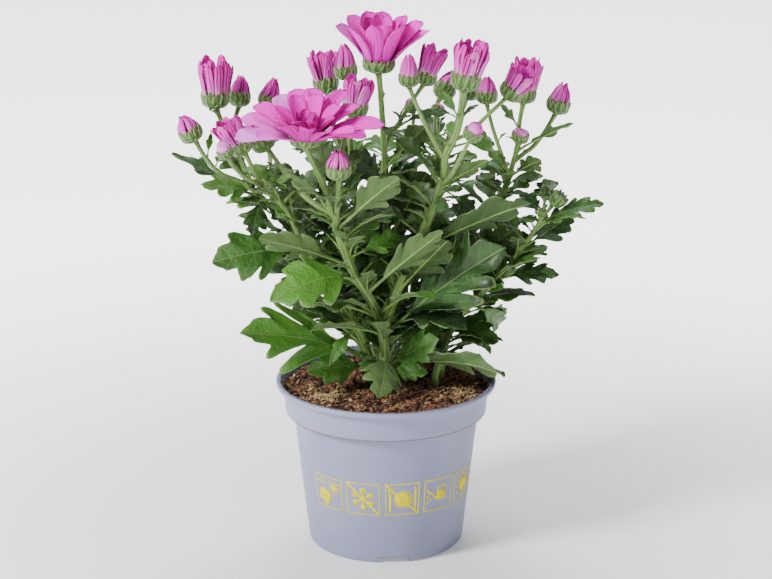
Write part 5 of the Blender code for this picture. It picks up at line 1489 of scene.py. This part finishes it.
@dataclass
class Shoot:
    """One shoot: ribbed stems with nodes and hairs, leaves, and the cups under its heads.

    Its stem swells at each node by a share, and by the flare under the head. Hairs stand so many to a mm of
    stem. Each round of extra leaves gives their least and greatest length, their step up the stalk in mm,
    the sweep of their bearings and the sizes to try, and above the bare height, in metres, come only small
    ones.
    """
    name: str
    stalks: tuple
    leaves: tuple
    fills: tuple
    swell: float = 1.16
    flare: float = 0.45
    rib_depth: float = 0.07
    hair_density: float = 5.0
    hair_radius: float = 0.035
    rounds: tuple = ((40, 56, 8.0, 0.66, (1.0, 0.9, 0.8)), (26, 38, 7.0, 1.0, (1.0, 0.8)),
                     (18, 24, 14.0, 1.0, (1.0, 0.7)))
    bare_height: float = 0.205
    attempts: int = 12
    golden_share: float = 0.618

    def planned(self) -> list[tuple[Leaf, tuple]]:
        """Return the planned leaves, and the rule's ones round the stem, each with the sizes to try."""
        draw = random.Random(self.name)
        path = [Vector(point) for point in self.stalks[0].points]
        plans = [(leaf, SHRINKS) for leaf in self.leaves]
        for fill in self.fills:
            for index in range(fill.count):
                share = (index + 0.5) / fill.count
                height = fill.low + (fill.high - fill.low) * share
                base = min(path, key=lambda point: abs(point.z - height)).copy()
                for low, high in zip(path, path[1:]):
                    if low.z <= height <= high.z:
                        base = low.lerp(high, (height - low.z) / (high.z - low.z))
                offset = ((index * self.golden_share) % 1.0) * 2 - 1
                bearing = math.radians(fill.bearing + offset * fill.sweep)
                length = 52 - 22 * share + draw.uniform(-3, 3)
                rise = math.radians(18 + 14 * share + draw.uniform(-6, 6))
                reach = Vector((*polar(math.cos(rise), bearing), math.sin(rise)))
                leaf = Leaf(tuple(base), tuple(base + reach * length), UP, PLAIN,
                            0.10 + draw.uniform(0, 0.06), 0.16, draw.uniform(0.95, 1.2))
                plans.append((leaf, SHRINKS[:1]))
        return plans

    def build(self, placer: Placer, hairs: Shells) -> None:
        """Make the shoot one piece in place of its CAD node, and add its hairs to the plant's.

        Args:
            placer: finds the planned leaves and room for more.
            hairs: where hairs are gathered.
        """
        shells = Shells()
        draw = random.Random(self.name + " form")
        dresser = LeafDresser()
        found = []
        plans = self.planned()
        for leaf, shrinks in plans:
            blade = placer.match(self.name, self.stalks, leaf, shrinks)
            if blade:
                found.append(blade)
                dresser.build(shells, blade, draw, 1.0 if blade.length > 0.030 else 0.7)
        LOG.info("%s: %d leaves matched of %d", self.name, len(found), len(plans))
        for index, stalk in enumerate(self.stalks):
            self.stem(shells, hairs, stalk, index == 0, found, draw)
            place = head_frame(stalk.head, stalk_path(stalk, index == 0)[-1])
            Cup(stalk.head, place).build(shells, draw)
            if stalk.head.stage is not GREEN:
                Petals(stalk.head, place).build()
        self.small_leaves(shells, placer, dresser, found, draw)
        shells.build("fine_" + self.name, [LEAF_TOP, LEAF_BELOW, STEM_SKIN, BRACT], "green", (self.name,))

    def stem(self, shells: Shells, hairs: Shells, stalk: Stalk, rooted: bool, found: list[Blade],
             draw: random.Random) -> None:
        """Sweep one stalk as a ribbed stem, thicker at its nodes and under its head."""
        path = smooth_path(stalk_path(stalk, rooted), 2.4 * MM)
        steps = [0.0]
        for start, end in zip(path, path[1:]):
            steps.append(steps[-1] + (end - start).length)
        shares = np.array(steps) / steps[-1]
        radii = (stalk.root + (stalk.end - stalk.root) * shares) * MM
        for blade in found:
            near = min(range(len(path)), key=lambda index: (path[index] - blade.base).length)
            if (path[near] - blade.base).length < 0.004:
                gaps = (np.array(steps) - steps[near]) / (2.2 * MM)
                radii = radii * (1 + (self.swell - 1) * np.exp(-gaps ** 2))
        radii = radii * (1 + self.flare * np.exp(-(steps[-1] - np.array(steps)) / (2.0 * MM)))
        shells.tube(path, radii, 18, 6, self.rib_depth, draw.uniform(0.35, 0.7), 2)
        self.down(hairs, path, radii, draw)

    def down(self, hairs: Shells, path: list[Vector], radii: np.ndarray, draw: random.Random) -> None:
        """Stand short fine hairs on a stem above the soil, as three-sided spikes."""
        for start, end, radius in zip(path, path[1:], radii):
            if start.z < SOIL_HEIGHT + 0.004:
                continue
            ahead = (end - start).normalized()
            side = ahead.orthogonal().normalized()
            for _hair in range(round(self.hair_density * (end - start).length / MM)):
                out = Matrix.Rotation(draw.uniform(0, 2 * math.pi), 3, ahead) @ side
                foot = start.lerp(end, draw.random()) + out * radius * 0.93
                lean = (out + wobble(draw, 0.35)).normalized()
                tip = foot + lean * draw.uniform(0.55, 1.05) * MM
                third = out.cross(ahead)
                points = [foot + (ahead * math.cos(turn) + third * math.sin(turn)) * (self.hair_radius * MM)
                          for turn in (0.0, 2.1, 4.2)] + [tip]
                hairs.add(np.array(points), np.zeros((4, 2)), [(0, 1, 2), (0, 3, 1), (1, 3, 2), (2, 3, 0)],
                          0, 0.5)

    def small_leaves(self, shells: Shells, placer: Placer, dresser: LeafDresser, found: list[Blade],
                     draw: random.Random) -> None:
        """Set small leaves where leaves join the stem, and others up the stems where there is room."""
        for base, tip, outline, width in SMALL_LEAVES.get(self.name, ()):
            place = nearest_on_stalks(self.stalks, Vector(base) * MM)
            leaf = Leaf(base, tip, UP, outline, 0.08, 0.2, width)
            dresser.build(shells, Blade(leaf, place, Vector(tip) * MM, Vector((0.0, -0.4, 1.0))), draw, 0.6)
        for blade in list(found):
            for sign in (-1, 1):
                length = draw.uniform(9, 17) * MM
                reach = blade.axis * 0.5 + UP_AXIS * 0.55 + blade.side * sign * draw.uniform(0.4, 0.9)
                self.try_leaf(shells, placer, dresser, blade.base, reach.normalized() * length, draw)
        for plan in self.rounds:
            for index, stalk in enumerate(self.stalks):
                self.climb(shells, placer, dresser, stalk, index == 0, plan, draw)

    def climb(self, shells: Shells, placer: Placer, dresser: LeafDresser, stalk: Stalk, main: bool,
              plan: tuple, draw: random.Random) -> None:
        """Set leaves up one stalk wherever there is room.

        Args:
            shells: where they are gathered.
            placer: knows what stands where.
            dresser: makes them.
            stalk: the stalk.
            main: whether it is the shoot's own stem.
            plan: least and greatest length, step up the stalk in mm, sweep of the bearings round straight
                back in radians, and the sizes to try as shares.
            draw: random draw.
        """
        low, high, step, spread, sizes = plan
        path = smooth_path(stalk_path(stalk, False), 2.0 * MM)
        total = sum((end - start).length for start, end in zip(path, path[1:]))
        walked = draw.uniform(0.3, 1.0) * step * MM
        bearing = draw.uniform(-math.pi, math.pi)
        done = 0.0
        for start, end in zip(path, path[1:]):
            done += (end - start).length
            if done < walked or start.z < SOIL_HEIGHT + 0.012:
                continue
            if start.z > self.bare_height and (low > 20 or total - done < 0.014):
                continue
            share = done / total
            walked = done + step * MM * draw.uniform(0.8, 1.2)
            length = draw.uniform(low, high) * ((1 - 0.45 * share) if main else 0.42) * MM
            for attempt in range(self.attempts):
                bearing = (bearing + 2.4 + math.pi) % (2 * math.pi) - math.pi
                rise = draw.uniform(0.1, 0.8)
                turn = math.pi / 2 + bearing * spread
                reach = Vector((*polar(math.cos(rise), turn), math.sin(rise)))
                size = sizes[attempt * len(sizes) // self.attempts]
                if self.try_leaf(shells, placer, dresser, start, reach * length * size, draw):
                    break

    def try_leaf(self, shells: Shells, placer: Placer, dresser: LeafDresser, base: Vector, reach: Vector,
                 draw: random.Random) -> bool:
        """Add a leaf if it clears everything.

        Args:
            shells: where it is gathered.
            placer: knows what stands where.
            dresser: makes it.
            base: where it leaves the stem.
            reach: from its base to its tip.
            draw: random draw.

        Returns:
            Whether there was room.
        """
        length = reach.length / MM
        outline = SLIM if length < 13 else draw.choice((LOBED, PLAIN, LOBED))
        face = UP_AXIS + wobble(draw, 0.3)
        leaf = Leaf(tuple(base / MM), tuple((base + reach) / MM), tuple(face), outline,
                    draw.uniform(0.03, 0.14), draw.uniform(0.12, 0.3), draw.uniform(0.9, 1.35))
        blade = Blade(leaf, base, base + reach, face)
        if not placer.free(blade):
            return False
        dresser.build(shells, blade, draw, 0.58 if length > 26 else 0.42 if length > 15 else 0.3)
        return True


@dataclass
class NurseryPot:
    """The pot: rolled lip, deep band, tapering wall, notched foot ring and raised floor, in mm.

    A notch's size is given outward, round the foot and upward, and its turn in degrees.
    """
    rim_radius: float = 60.0
    rim_height: float = 92.0
    band_radius: float = 55.4
    band_depth: float = 17.7
    ledge_radius: float = 50.3
    base_radius: float = 42.4
    wall: float = 1.2
    floor: float = 5.2
    steps: int = 192
    notches: int = 3
    notch: tuple = (12.0, 17.0, 8.0)
    notch_turn: float = -84.5
    drains: int = 5
    drain_radius: float = 4.5
    drain_ring: float = 27.0

    def profile(self) -> list[tuple[float, float]]:
        """Return the closed profile in mm, outer side from the lip down and inner side back up."""
        top, band, ledge, base = self.rim_height, self.band_radius, self.ledge_radius, self.base_radius
        low = top - self.band_depth
        outer = [(self.rim_radius - 1.6, top), (self.rim_radius - 0.6, top - 0.15),
                 (self.rim_radius - 0.1, top - 0.7), (self.rim_radius, top - 1.3),
                 (self.rim_radius - 0.05, top - 2.2), (self.rim_radius - 0.5, top - 2.9),
                 (self.rim_radius - 1.5, top - 3.4), (band + 2.0, top - 3.9), (band + 0.9, top - 4.8),
                 (band + 0.25, top - 6.2), (band + 0.1, top - 8.0), (band - 0.6, low + 0.9),
                 (band - 0.75, low + 0.3), (band - 1.15, low - 0.05), (band - 2.0, low - 0.15),
                 (ledge + 1.0, low - 0.2), (ledge + 0.35, low - 0.45), (ledge + 0.05, low - 1.6),
                 (base + 0.25, 4.4), (base, 2.6), (base - 0.35, 1.2), (base - 1.0, 0.35), (base - 1.8, 0.0)]
        foot = base - 3.2
        under = [(foot + 0.3, 0.0), (foot, 0.3), (foot, self.floor - 0.5), (foot - 0.5, self.floor),
                 (0.0, self.floor)]
        inside = self.floor + self.wall
        inner = [(0.0, inside), (base - self.wall - 1.2, inside), (base - self.wall, inside + 1.0),
                 (ledge - self.wall, low - 1.4), (band - 2.6 - self.wall, low + 1.0),
                 (band - 1.8 - self.wall, low + 2.6), (band - self.wall, top - 8.0),
                 (self.rim_radius - 3.4, top - 4.2), (self.rim_radius - 2.9, top - 1.2),
                 (self.rim_radius - 2.4, top - 0.3)]
        return outer + under + inner

    def radius_at(self, height: float) -> float:
        """Return the wall's outer radius in mm at a height between foot and ledge."""
        low = self.rim_height - self.band_depth - 1.8
        share = (height - 4.4) / (low - 4.4)
        return self.base_radius + 0.25 + (self.ledge_radius + 0.05 - self.base_radius - 0.25) * share

    def turned(self) -> bpy.types.Mesh:
        """Return the profile turned round the axis, which it meets in single points."""
        profile = self.profile()
        points = []
        starts = []
        faces = []
        for radius, height in profile:
            starts.append(len(points))
            for index in range(self.steps if radius else 1):
                x, y = polar(radius, 2 * math.pi * index / self.steps)
                points.append((x * MM, y * MM, height * MM))
        for row, (radius, _height) in enumerate(profile):
            after = (row + 1) % len(profile)
            here, below = starts[row], starts[after]
            if radius == profile[after][0] == 0:
                continue
            for index in range(self.steps):
                beside = (index + 1) % self.steps
                if radius == 0:
                    faces.append((here, below + index, below + beside))
                elif profile[after][0] == 0:
                    faces.append((here + index, below, here + beside))
                else:
                    faces.append((here + index, below + index, below + beside, here + beside))
        mesh = bpy.data.meshes.new("fine_pot")
        mesh.from_pydata(points, [], faces)
        mesh.update()
        return mesh

    def cutters(self) -> list[bpy.types.Object]:
        """Return the blocks that cut the foot's notches and the cylinders that drill the drain holes."""
        tools = []
        for index in range(self.notches):
            bearing = math.radians(self.notch_turn + 360 / self.notches * index)
            place = (*polar((self.base_radius - 2.0) * MM, bearing), 0.0)
            bpy.ops.mesh.primitive_cube_add(size=1.0, location=place, rotation=(0.0, 0.0, bearing))
            bpy.context.object.scale = [size * MM for size in self.notch]
            tools.append(bpy.context.object)
        for index in range(self.drains):
            bearing = math.radians(self.notch_turn) + 2 * math.pi * (index + 0.5) / self.drains
            place = (*polar(self.drain_ring * MM, bearing), (self.floor + self.wall / 2) * MM)
            bpy.ops.mesh.primitive_cylinder_add(vertices=32, radius=self.drain_radius * MM, depth=5 * MM,
                                                location=place)
            tools.append(bpy.context.object)
        return tools

    def build(self) -> bpy.types.Object:
        """Turn the profile, cut notches and drain holes, and dress the pot."""
        pot = bpy.data.objects.new("fine_pot", self.turned())
        bpy.context.scene.collection.objects.link(pot)
        tools = self.cutters()
        for tool in tools:
            step = pot.modifiers.new(tool.name, "BOOLEAN")
            step.operation = "DIFFERENCE"
            step.solver = "EXACT"
            step.object = tool
        bpy.context.view_layer.update()
        baked = bpy.data.meshes.new_from_object(pot.evaluated_get(bpy.context.evaluated_depsgraph_get()))
        pot.modifiers.clear()
        pot.data = baked
        for tool in tools:
            bpy.data.objects.remove(tool)
        baked.materials.clear()
        baked.materials.append(POT_PLASTIC.material())
        baked.polygons.foreach_set("material_index", [0] * len(baked.polygons))
        baked.set_sharp_from_angle(angle=math.radians(40))
        baked.polygons.foreach_set("use_smooth", [True] * len(baked.polygons))
        return settle(pot, ("pot",))


@dataclass
class CareSymbols:
    """Five framed care symbols printed round the front of the pot, in this script's own plain design.

    Sizes are in mm. The centres lie along the wall's round, counted from straight ahead.
    """
    pot: NurseryPot
    size: float = 18.0
    height: float = 38.5
    line: float = 0.55
    print_depth: float = 0.12
    centres: tuple = (-33.8, -12.4, 9.0, 30.4, 51.8)
    strike: tuple = ((-8.4, 8.4), (8.4, -8.4))

    def build(self) -> bpy.types.Object:
        """Print every frame and what it holds."""
        shells = Shells()
        half = self.size / 2
        pictures = (self.half_shade, self.frost, self.plate, self.can, self.sun)
        for centre, picture in zip(self.centres, pictures):
            frame = [(-half, -half), (half, -half), (half, half), (-half, half), (-half, -half)]
            self.stroke(shells, centre, frame, self.line)
            picture(shells, centre)
        return shells.build("care_symbols", [PRINT_INK], "pot")

    def wrap(self, centre: float, x: float, y: float, lift: float) -> tuple[float, float, float]:
        """Return the place on the pot's wall of a place in a symbol."""
        height = self.height + y
        turn = -math.pi / 2 + (centre + x) / self.pot.radius_at(self.height)
        out, back = polar(self.pot.radius_at(height) + lift, turn)
        return out * MM, back * MM, height * MM

    def patch(self, shells: Shells, centre: float, grid: np.ndarray) -> None:
        """Print a patch of ink over a grid of flat places."""
        middle = np.array([[self.wrap(centre, x, y, self.print_depth / 2 - 0.03) for x, y in row]
                           for row in grid])
        turn = -math.pi / 2 + centre / self.pot.radius_at(self.height)
        shells.slab(middle, (self.print_depth + 0.06) * MM, grid, 0.5, (0, 0), Vector((*polar(1, turn), 0)))

    def stroke(self, shells: Shells, centre: float, path: list | tuple, width: float) -> None:
        """Print a line with square ends along a path, one straight piece after another."""
        for (x0, y0), (x1, y1) in zip(path, path[1:]):
            length = math.hypot(x1 - x0, y1 - y0)
            ahead = ((x1 - x0) / length, (y1 - y0) / length)
            steps = max(2, math.ceil(length / 1.2) + 1)
            rows = []
            for run in np.linspace(-width / 2, length + width / 2, steps):
                x, y = x0 + ahead[0] * run, y0 + ahead[1] * run
                rows.append([(x - ahead[1] * side, y + ahead[0] * side) for side in (-width / 2, width / 2)])
            self.patch(shells, centre, np.array(rows))

    def disc(self, shells: Shells, centre: float, place: tuple, radius: float, squash: float = 1.0,
             start: float = 0.0, end: float = 2 * math.pi, inner: float = 0.0) -> None:
        """Print a disc, a part of one, or a ring."""
        turns = np.linspace(start, end, 25)
        inside = max(inner, 0.02)
        grid = [[(place[0] + r * math.cos(turn), place[1] + r * math.sin(turn) * squash)
                 for r in (inside, (inside + radius) / 2, radius)] for turn in turns]
        self.patch(shells, centre, np.array(grid))

    def rays(self, shells: Shells, centre: float, place: tuple, count: int, reach: tuple, width: float
             ) -> None:
        """Print straight rays round a place, between two distances from it."""
        for index in range(count):
            turn = 2 * math.pi * index / count
            ray = [(place[0] + math.cos(turn) * far, place[1] + math.sin(turn) * far) for far in reach]
            self.stroke(shells, centre, ray, width)

    def sun(self, shells: Shells, centre: float) -> None:
        """Print a sun with twelve rays."""
        self.disc(shells, centre, (0, 0), 4.0)
        self.rays(shells, centre, (0, 0), 12, (4.8, 6.8), 0.9)

    def half_shade(self, shells: Shells, centre: float) -> None:
        """Print a bush under a small sun in the corner, with a cloud beside it."""
        self.disc(shells, centre, (4.0, 3.4), 2.0)
        self.rays(shells, centre, (4.0, 3.4), 10, (2.5, 4.2), 0.55)
        for x, y, radius in ((-3.8, -0.4, 2.7), (-1.2, -2.2, 2.9), (-4.8, -3.4, 2.4), (-1.6, -4.8, 2.5)):
            self.disc(shells, centre, (x, y), radius)
        self.stroke(shells, centre, [(-2.8, -7.9), (-2.8, -4.0)], 1.6)
        for x, y, radius in ((-6.4, 5.4, 1.4), (-4.4, 6.2, 1.6), (-2.6, 5.4, 1.3)):
            self.disc(shells, centre, (x, y), radius, 0.8, 0.1, math.pi - 0.1, radius - 0.45)
        self.stroke(shells, centre, [(-7.8, 5.2), (-1.3, 5.2)], 0.45)

    def frost(self, shells: Shells, centre: float) -> None:
        """Print a crystal of frost struck through."""
        self.disc(shells, centre, (0, 0), 1.7)
        for index in range(6):
            turn = math.pi * index / 3 + math.pi / 6
            end = polar(6.0, turn)
            self.stroke(shells, centre, [(0.0, 0.0), end], 1.1)
            for share, span in ((0.52, 2.2), (0.80, 1.7)):
                fork = (end[0] * share, end[1] * share)
                for lean in (-0.8, 0.8):
                    tip = (fork[0] + math.cos(turn + lean) * span, fork[1] + math.sin(turn + lean) * span)
                    self.stroke(shells, centre, [fork, tip], 0.85)
        self.stroke(shells, centre, self.strike, 1.2)

    def plate(self, shells: Shells, centre: float) -> None:
        """Print a plate between a fork and a knife, struck through."""
        self.disc(shells, centre, (0.4, 0), 5.2, inner=4.8)
        self.disc(shells, centre, (0.4, 0), 4.4)
        self.stroke(shells, centre, [(-6.6, -6.8), (-6.6, 2.4)], 1.3)
        for x in (-7.5, -6.6, -5.7):
            self.stroke(shells, centre, [(x, 3.2), (x, 6.4)], 0.5)
        self.stroke(shells, centre, [(-7.5, 3.0), (-5.7, 3.0)], 0.8)
        self.stroke(shells, centre, [(7.0, -6.8), (7.0, 6.4)], 1.1)
        self.stroke(shells, centre, self.strike, 1.2)

    def can(self, shells: Shells, centre: float) -> None:
        """Print a watering can with a long spout, and its drops."""
        body = [[(-1.8 + 0.1 * k, -3.6 + 1.5 * k), (5.4 - 0.35 * k, -3.6 + 1.5 * k)] for k in range(5)]
        self.patch(shells, centre, np.array(body))
        self.disc(shells, centre, (2.0, 2.2), 3.4, 1.0, 0.1, math.pi - 0.1, 2.7)
        self.stroke(shells, centre, [(-1.4, -2.6), (-4.4, 1.2), (-6.4, 2.2)], 1.1)
        self.stroke(shells, centre, [(-7.2, 3.4), (-6.0, 1.2)], 0.9)
        for x, y in ((-6.9, -0.6), (-5.6, -2.2), (-7.0, -3.8)):
            self.disc(shells, centre, (x, y), 0.6, 1.5)


@dataclass
class PeatFill:
    """The peat in the pot: a crumbly surface with the stems through it, and what lies loose on it, in mm.

    The golden granules lie thickest in beds, each given by its weight, its centre and its spread squared.
    A drift is given by its centre and its number of crumbs, and a place on the lip by radius and height.
    """
    pot: NurseryPot
    rings: int = 46
    steps: int = 180
    bottom: float = 7.0
    surface: float = 87.6
    reach: float = 56.4
    crumbs: int = 4700
    fibres: int = 520
    beds: tuple = ((0.85, -30, -24, 260), (0.5, 42, -16, 220), (0.2, 5, 34, 400))
    drifts: tuple = ((-32, -25, 330), (40, -15, 230), (8, -38, 60))
    lip_crumbs: int = 1040
    front_crumbs: int = 880
    lip_places: tuple = ((58.8, 92.0), (57.6, 91.6), (56.6, 91.0))

    def top(self, x: float, y: float) -> float:
        """Return the height of the surface in mm: lumpy, and heaped to the lip at the front."""
        radius = min(math.hypot(x, y) / 56.0, 1.0)
        front = max(0.0, -y / 56.0)
        lumps = noise.fractal(Vector((x / 7, y / 7, 1.7)), 0.7, 2.1, 6) * 2.2
        fine = abs(noise.noise(Vector((x / 1.9, y / 1.9, 5.0)))) * 1.6
        edge = -1.4 + 5.2 * front * front * radius ** 3
        return (self.surface + 3.0 * (1 - radius * radius) + edge * radius ** 2
                + lumps * (1 - 0.5 * radius) + fine)

    def golden(self, x: float, y: float) -> float:
        """Return how likely a crumb is a golden granule at a place."""
        clump = 0.5 + 1.6 * noise.noise(Vector((x / 3.5, y / 3.5, 9.0)))
        bed = sum(weight * math.exp(-((x - middle_x) ** 2 + (y - middle_y) ** 2) / spread)
                  for weight, middle_x, middle_y, spread in self.beds)
        return 0.012 + clump * bed

    def build(self) -> None:
        """Make the peat body and what lies loose on it."""
        self.body()
        draw = random.Random("peat")
        loose = Shells()
        for lay in (self.strew, self.heap, self.thread, self.spill):
            lay(loose, draw)
        loose.build("soil_crumbs", [PEAT], "soil")

    def body(self) -> bpy.types.Object:
        """Make the body, which fills the pot up to its lumpy surface."""
        turns = np.arange(self.steps) * 2 * math.pi / self.steps
        band = self.pot.band_radius
        under = ((1.0, self.bottom), (self.pot.base_radius - 2.4, self.bottom),
                 (self.pot.ledge_radius - 2.2, 72.0), (band - 4.4, 76.0), (band - 2.0, 83.0))
        rings = [[(*polar(radius, turn), height) for turn in turns] for radius, height in under]
        for index in range(self.rings):
            radius = (band - 0.2) * (1 - index / self.rings) ** 0.85 if index else band - 1.5
            sink = 0.0 if index else 1.2
            rings.append([(x, y, self.top(x, y) - sink) for x, y in (polar(radius, turn) for turn in turns)])
        grid = np.array(rings) * MM
        shells = Shells()
        shells.loft(grid, grid[:, :, :2] * 10, np.repeat((0.2, 0.36), (len(under), self.rings)), 0)
        return shells.build("fine_soil", [PEAT], "soil", ("soil",))

    def strew(self, loose: Shells, draw: random.Random) -> None:
        """Strew crumbs over the whole surface, with golden granules among them."""
        for _crumb in range(self.crumbs):
            x, y = polar(self.reach * math.sqrt(draw.random()), draw.uniform(0, 2 * math.pi))
            golden = draw.random() < self.golden(x, y)
            size = draw.uniform(0.35, 1.0) if golden or draw.random() < 0.80 else draw.uniform(1.0, 2.3)
            if golden:
                size *= draw.uniform(1.0, 1.7)
                tone = draw.uniform(0.84, 1.1)
            else:
                browns = ((0.0, 0.3), (0.25, 0.5), (0.42, 0.68))
                tone = draw.choice([draw.uniform(low, high) for low, high in browns])
            shape = Vector((size, size * draw.uniform(0.5, 1.0), size * draw.uniform(0.4, 0.8))) * MM
            spin = Matrix.Rotation(draw.uniform(0, 6.28), 3, wobble(draw, 1).normalized())
            place = Vector((x * MM, y * MM, (self.top(x, y) + size * 0.25) * MM))
            loose.pebble(place, shape, spin, draw, tone)

    def heap(self, loose: Shells, draw: random.Random) -> None:
        """Heap pale and golden crumbs in drifts at the front."""
        for centre_x, centre_y, count in self.drifts:
            for _grain in range(count):
                x, y = draw.gauss(centre_x, 5.0), draw.gauss(centre_y, 4.0)
                size = draw.uniform(0.4, 1.1)
                if math.hypot(x, y) < 55:
                    place = Vector((x, y, self.top(x, y) + size * 0.5)) * MM
                    shape = Vector((size, size * 0.9, size * 0.7)) * MM
                    loose.pebble(place, shape, Matrix.Rotation(x, 3, "Z"), draw, draw.uniform(0.62, 1.1))

    def thread(self, loose: Shells, draw: random.Random) -> None:
        """Lay curved fibres on the surface, short of the lip."""
        for _fibre in range(self.fibres):
            x, y = polar(54.0 * math.sqrt(draw.random()), draw.uniform(0, 2 * math.pi))
            bearing = draw.uniform(0, 2 * math.pi)
            length = draw.uniform(2.5, 8.0)
            path = []
            for share in (0.0, 0.35, 0.7, 1.0):
                end_x = x + math.cos(bearing + share * 0.6) * length * share
                end_y = y + math.sin(bearing + share * 0.6) * length * share
                if math.hypot(end_x, end_y) > 56.5:
                    break
                path.append(Vector((end_x, end_y, self.top(end_x, end_y) + draw.uniform(0.2, 0.9))) * MM)
            if len(path) > 2:
                radii = np.full(len(path), draw.uniform(0.07, 0.2) * MM)
                loose.tube(path, radii, 5, tone=draw.uniform(0.25, 0.9))

    def spill(self, loose: Shells, draw: random.Random) -> None:
        """Spill crumbs on the pot's lip, in clumps at the front and a few elsewhere."""
        for index in range(self.lip_crumbs):
            front = index < self.front_crumbs
            turn = math.radians(-90) + draw.gauss(0, 0.62) if front else draw.uniform(0, 2 * math.pi)
            if front and noise.noise(Vector((turn * 14, 3.0, 7.0))) < -0.12:
                continue
            radius, height = draw.choice(self.lip_places)
            radius += draw.uniform(-0.5, 0.5)
            size = draw.uniform(0.3, 1.1) if radius < 58.2 else draw.uniform(0.15, 0.45)
            place = Vector((*polar(radius, turn), height + size * 0.15)) * MM
            shape = Vector((size, size * 0.8, size * 0.6)) * MM
            loose.pebble(place, shape, Matrix.Rotation(turn, 3, "Z"), draw, draw.uniform(0.1, 0.6))


@dataclass
class Studio:
    """The floor, lights and camera that the photograph was taken with.

    A lamp is given by its name, its place and the length of its side in metres, and its power in watts.
    """
    floor_size: float = 40.0
    air_glow: float = 0.08
    lamps: tuple = (("key", (-1.2, -0.8, 1.1), 0.4, 44.0), ("fill", (0.2, -1.6, 0.8), 0.8, 4.0),
                    ("top", (0.0, 0.5, 1.3), 0.6, 16.0))

    def build(self) -> None:
        """Lay the floor, hang the lights and set the camera."""
        bpy.ops.mesh.primitive_plane_add(size=self.floor_size)
        floor = bpy.context.object
        floor.name = "studio_floor"
        floor.data.materials.append(GLOWING_SWEEP.material())
        world = bpy.data.worlds.new("studio_air")
        bpy.context.scene.world = world
        world.use_nodes = True
        air = world.node_tree.nodes["Background"]
        feed(world.node_tree, air, {"Color": "#FFFFFF", "Strength": self.air_glow})
        for lamp in self.lamps:
            self.hang(*lamp)
        data = bpy.data.cameras.new("photo_camera")
        camera = bpy.data.objects.new("photo_camera", data)
        bpy.context.scene.collection.objects.link(camera)
        camera.location = CAMERA_PLACE
        camera.rotation_euler = (math.pi / 2 - CAMERA_DIP, 0.0, 0.0)
        data.sensor_width = SENSOR_WIDTH
        data.lens = FOCAL_PIXELS * SENSOR_WIDTH / IMAGE_WIDTH
        bpy.context.scene.camera = camera

    def hang(self, name: str, place: tuple, size: float, power: float) -> None:
        """Hang a soft square light that faces the plant.

        Args:
            name: its name.
            place: where it hangs, in metres.
            size: length of its side in metres.
            power: in watts.
        """
        data = bpy.data.lights.new(name, "AREA")
        data.size = size
        data.energy = power
        lamp = bpy.data.objects.new(name, data)
        lamp.location = place
        aim = Vector((0.0, 0.0, 0.15)) - Vector(place)
        lamp.rotation_euler = aim.to_track_quat("-Z", "Y").to_euler()
        bpy.context.scene.collection.objects.link(lamp)


def main() -> None:
    """Build the pot, the peat, the shoots and their heads, and the studio."""
    pot = NurseryPot()
    pot.build()
    CareSymbols(pot).build()
    PeatFill(pot).build()
    placer = Placer(frame["nodes"])
    hairs = Shells()
    for name, (stalks, leaves, fills) in SHOOTS.items():
        Shoot(name, stalks, leaves, fills).build(placer, hairs)
    hairs.build("stem_hairs", [HAIR], "green")
    Studio().build()
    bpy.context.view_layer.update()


if __name__ == "__main__":
    logging.basicConfig(level=logging.INFO, format="%(message)s")
    main()
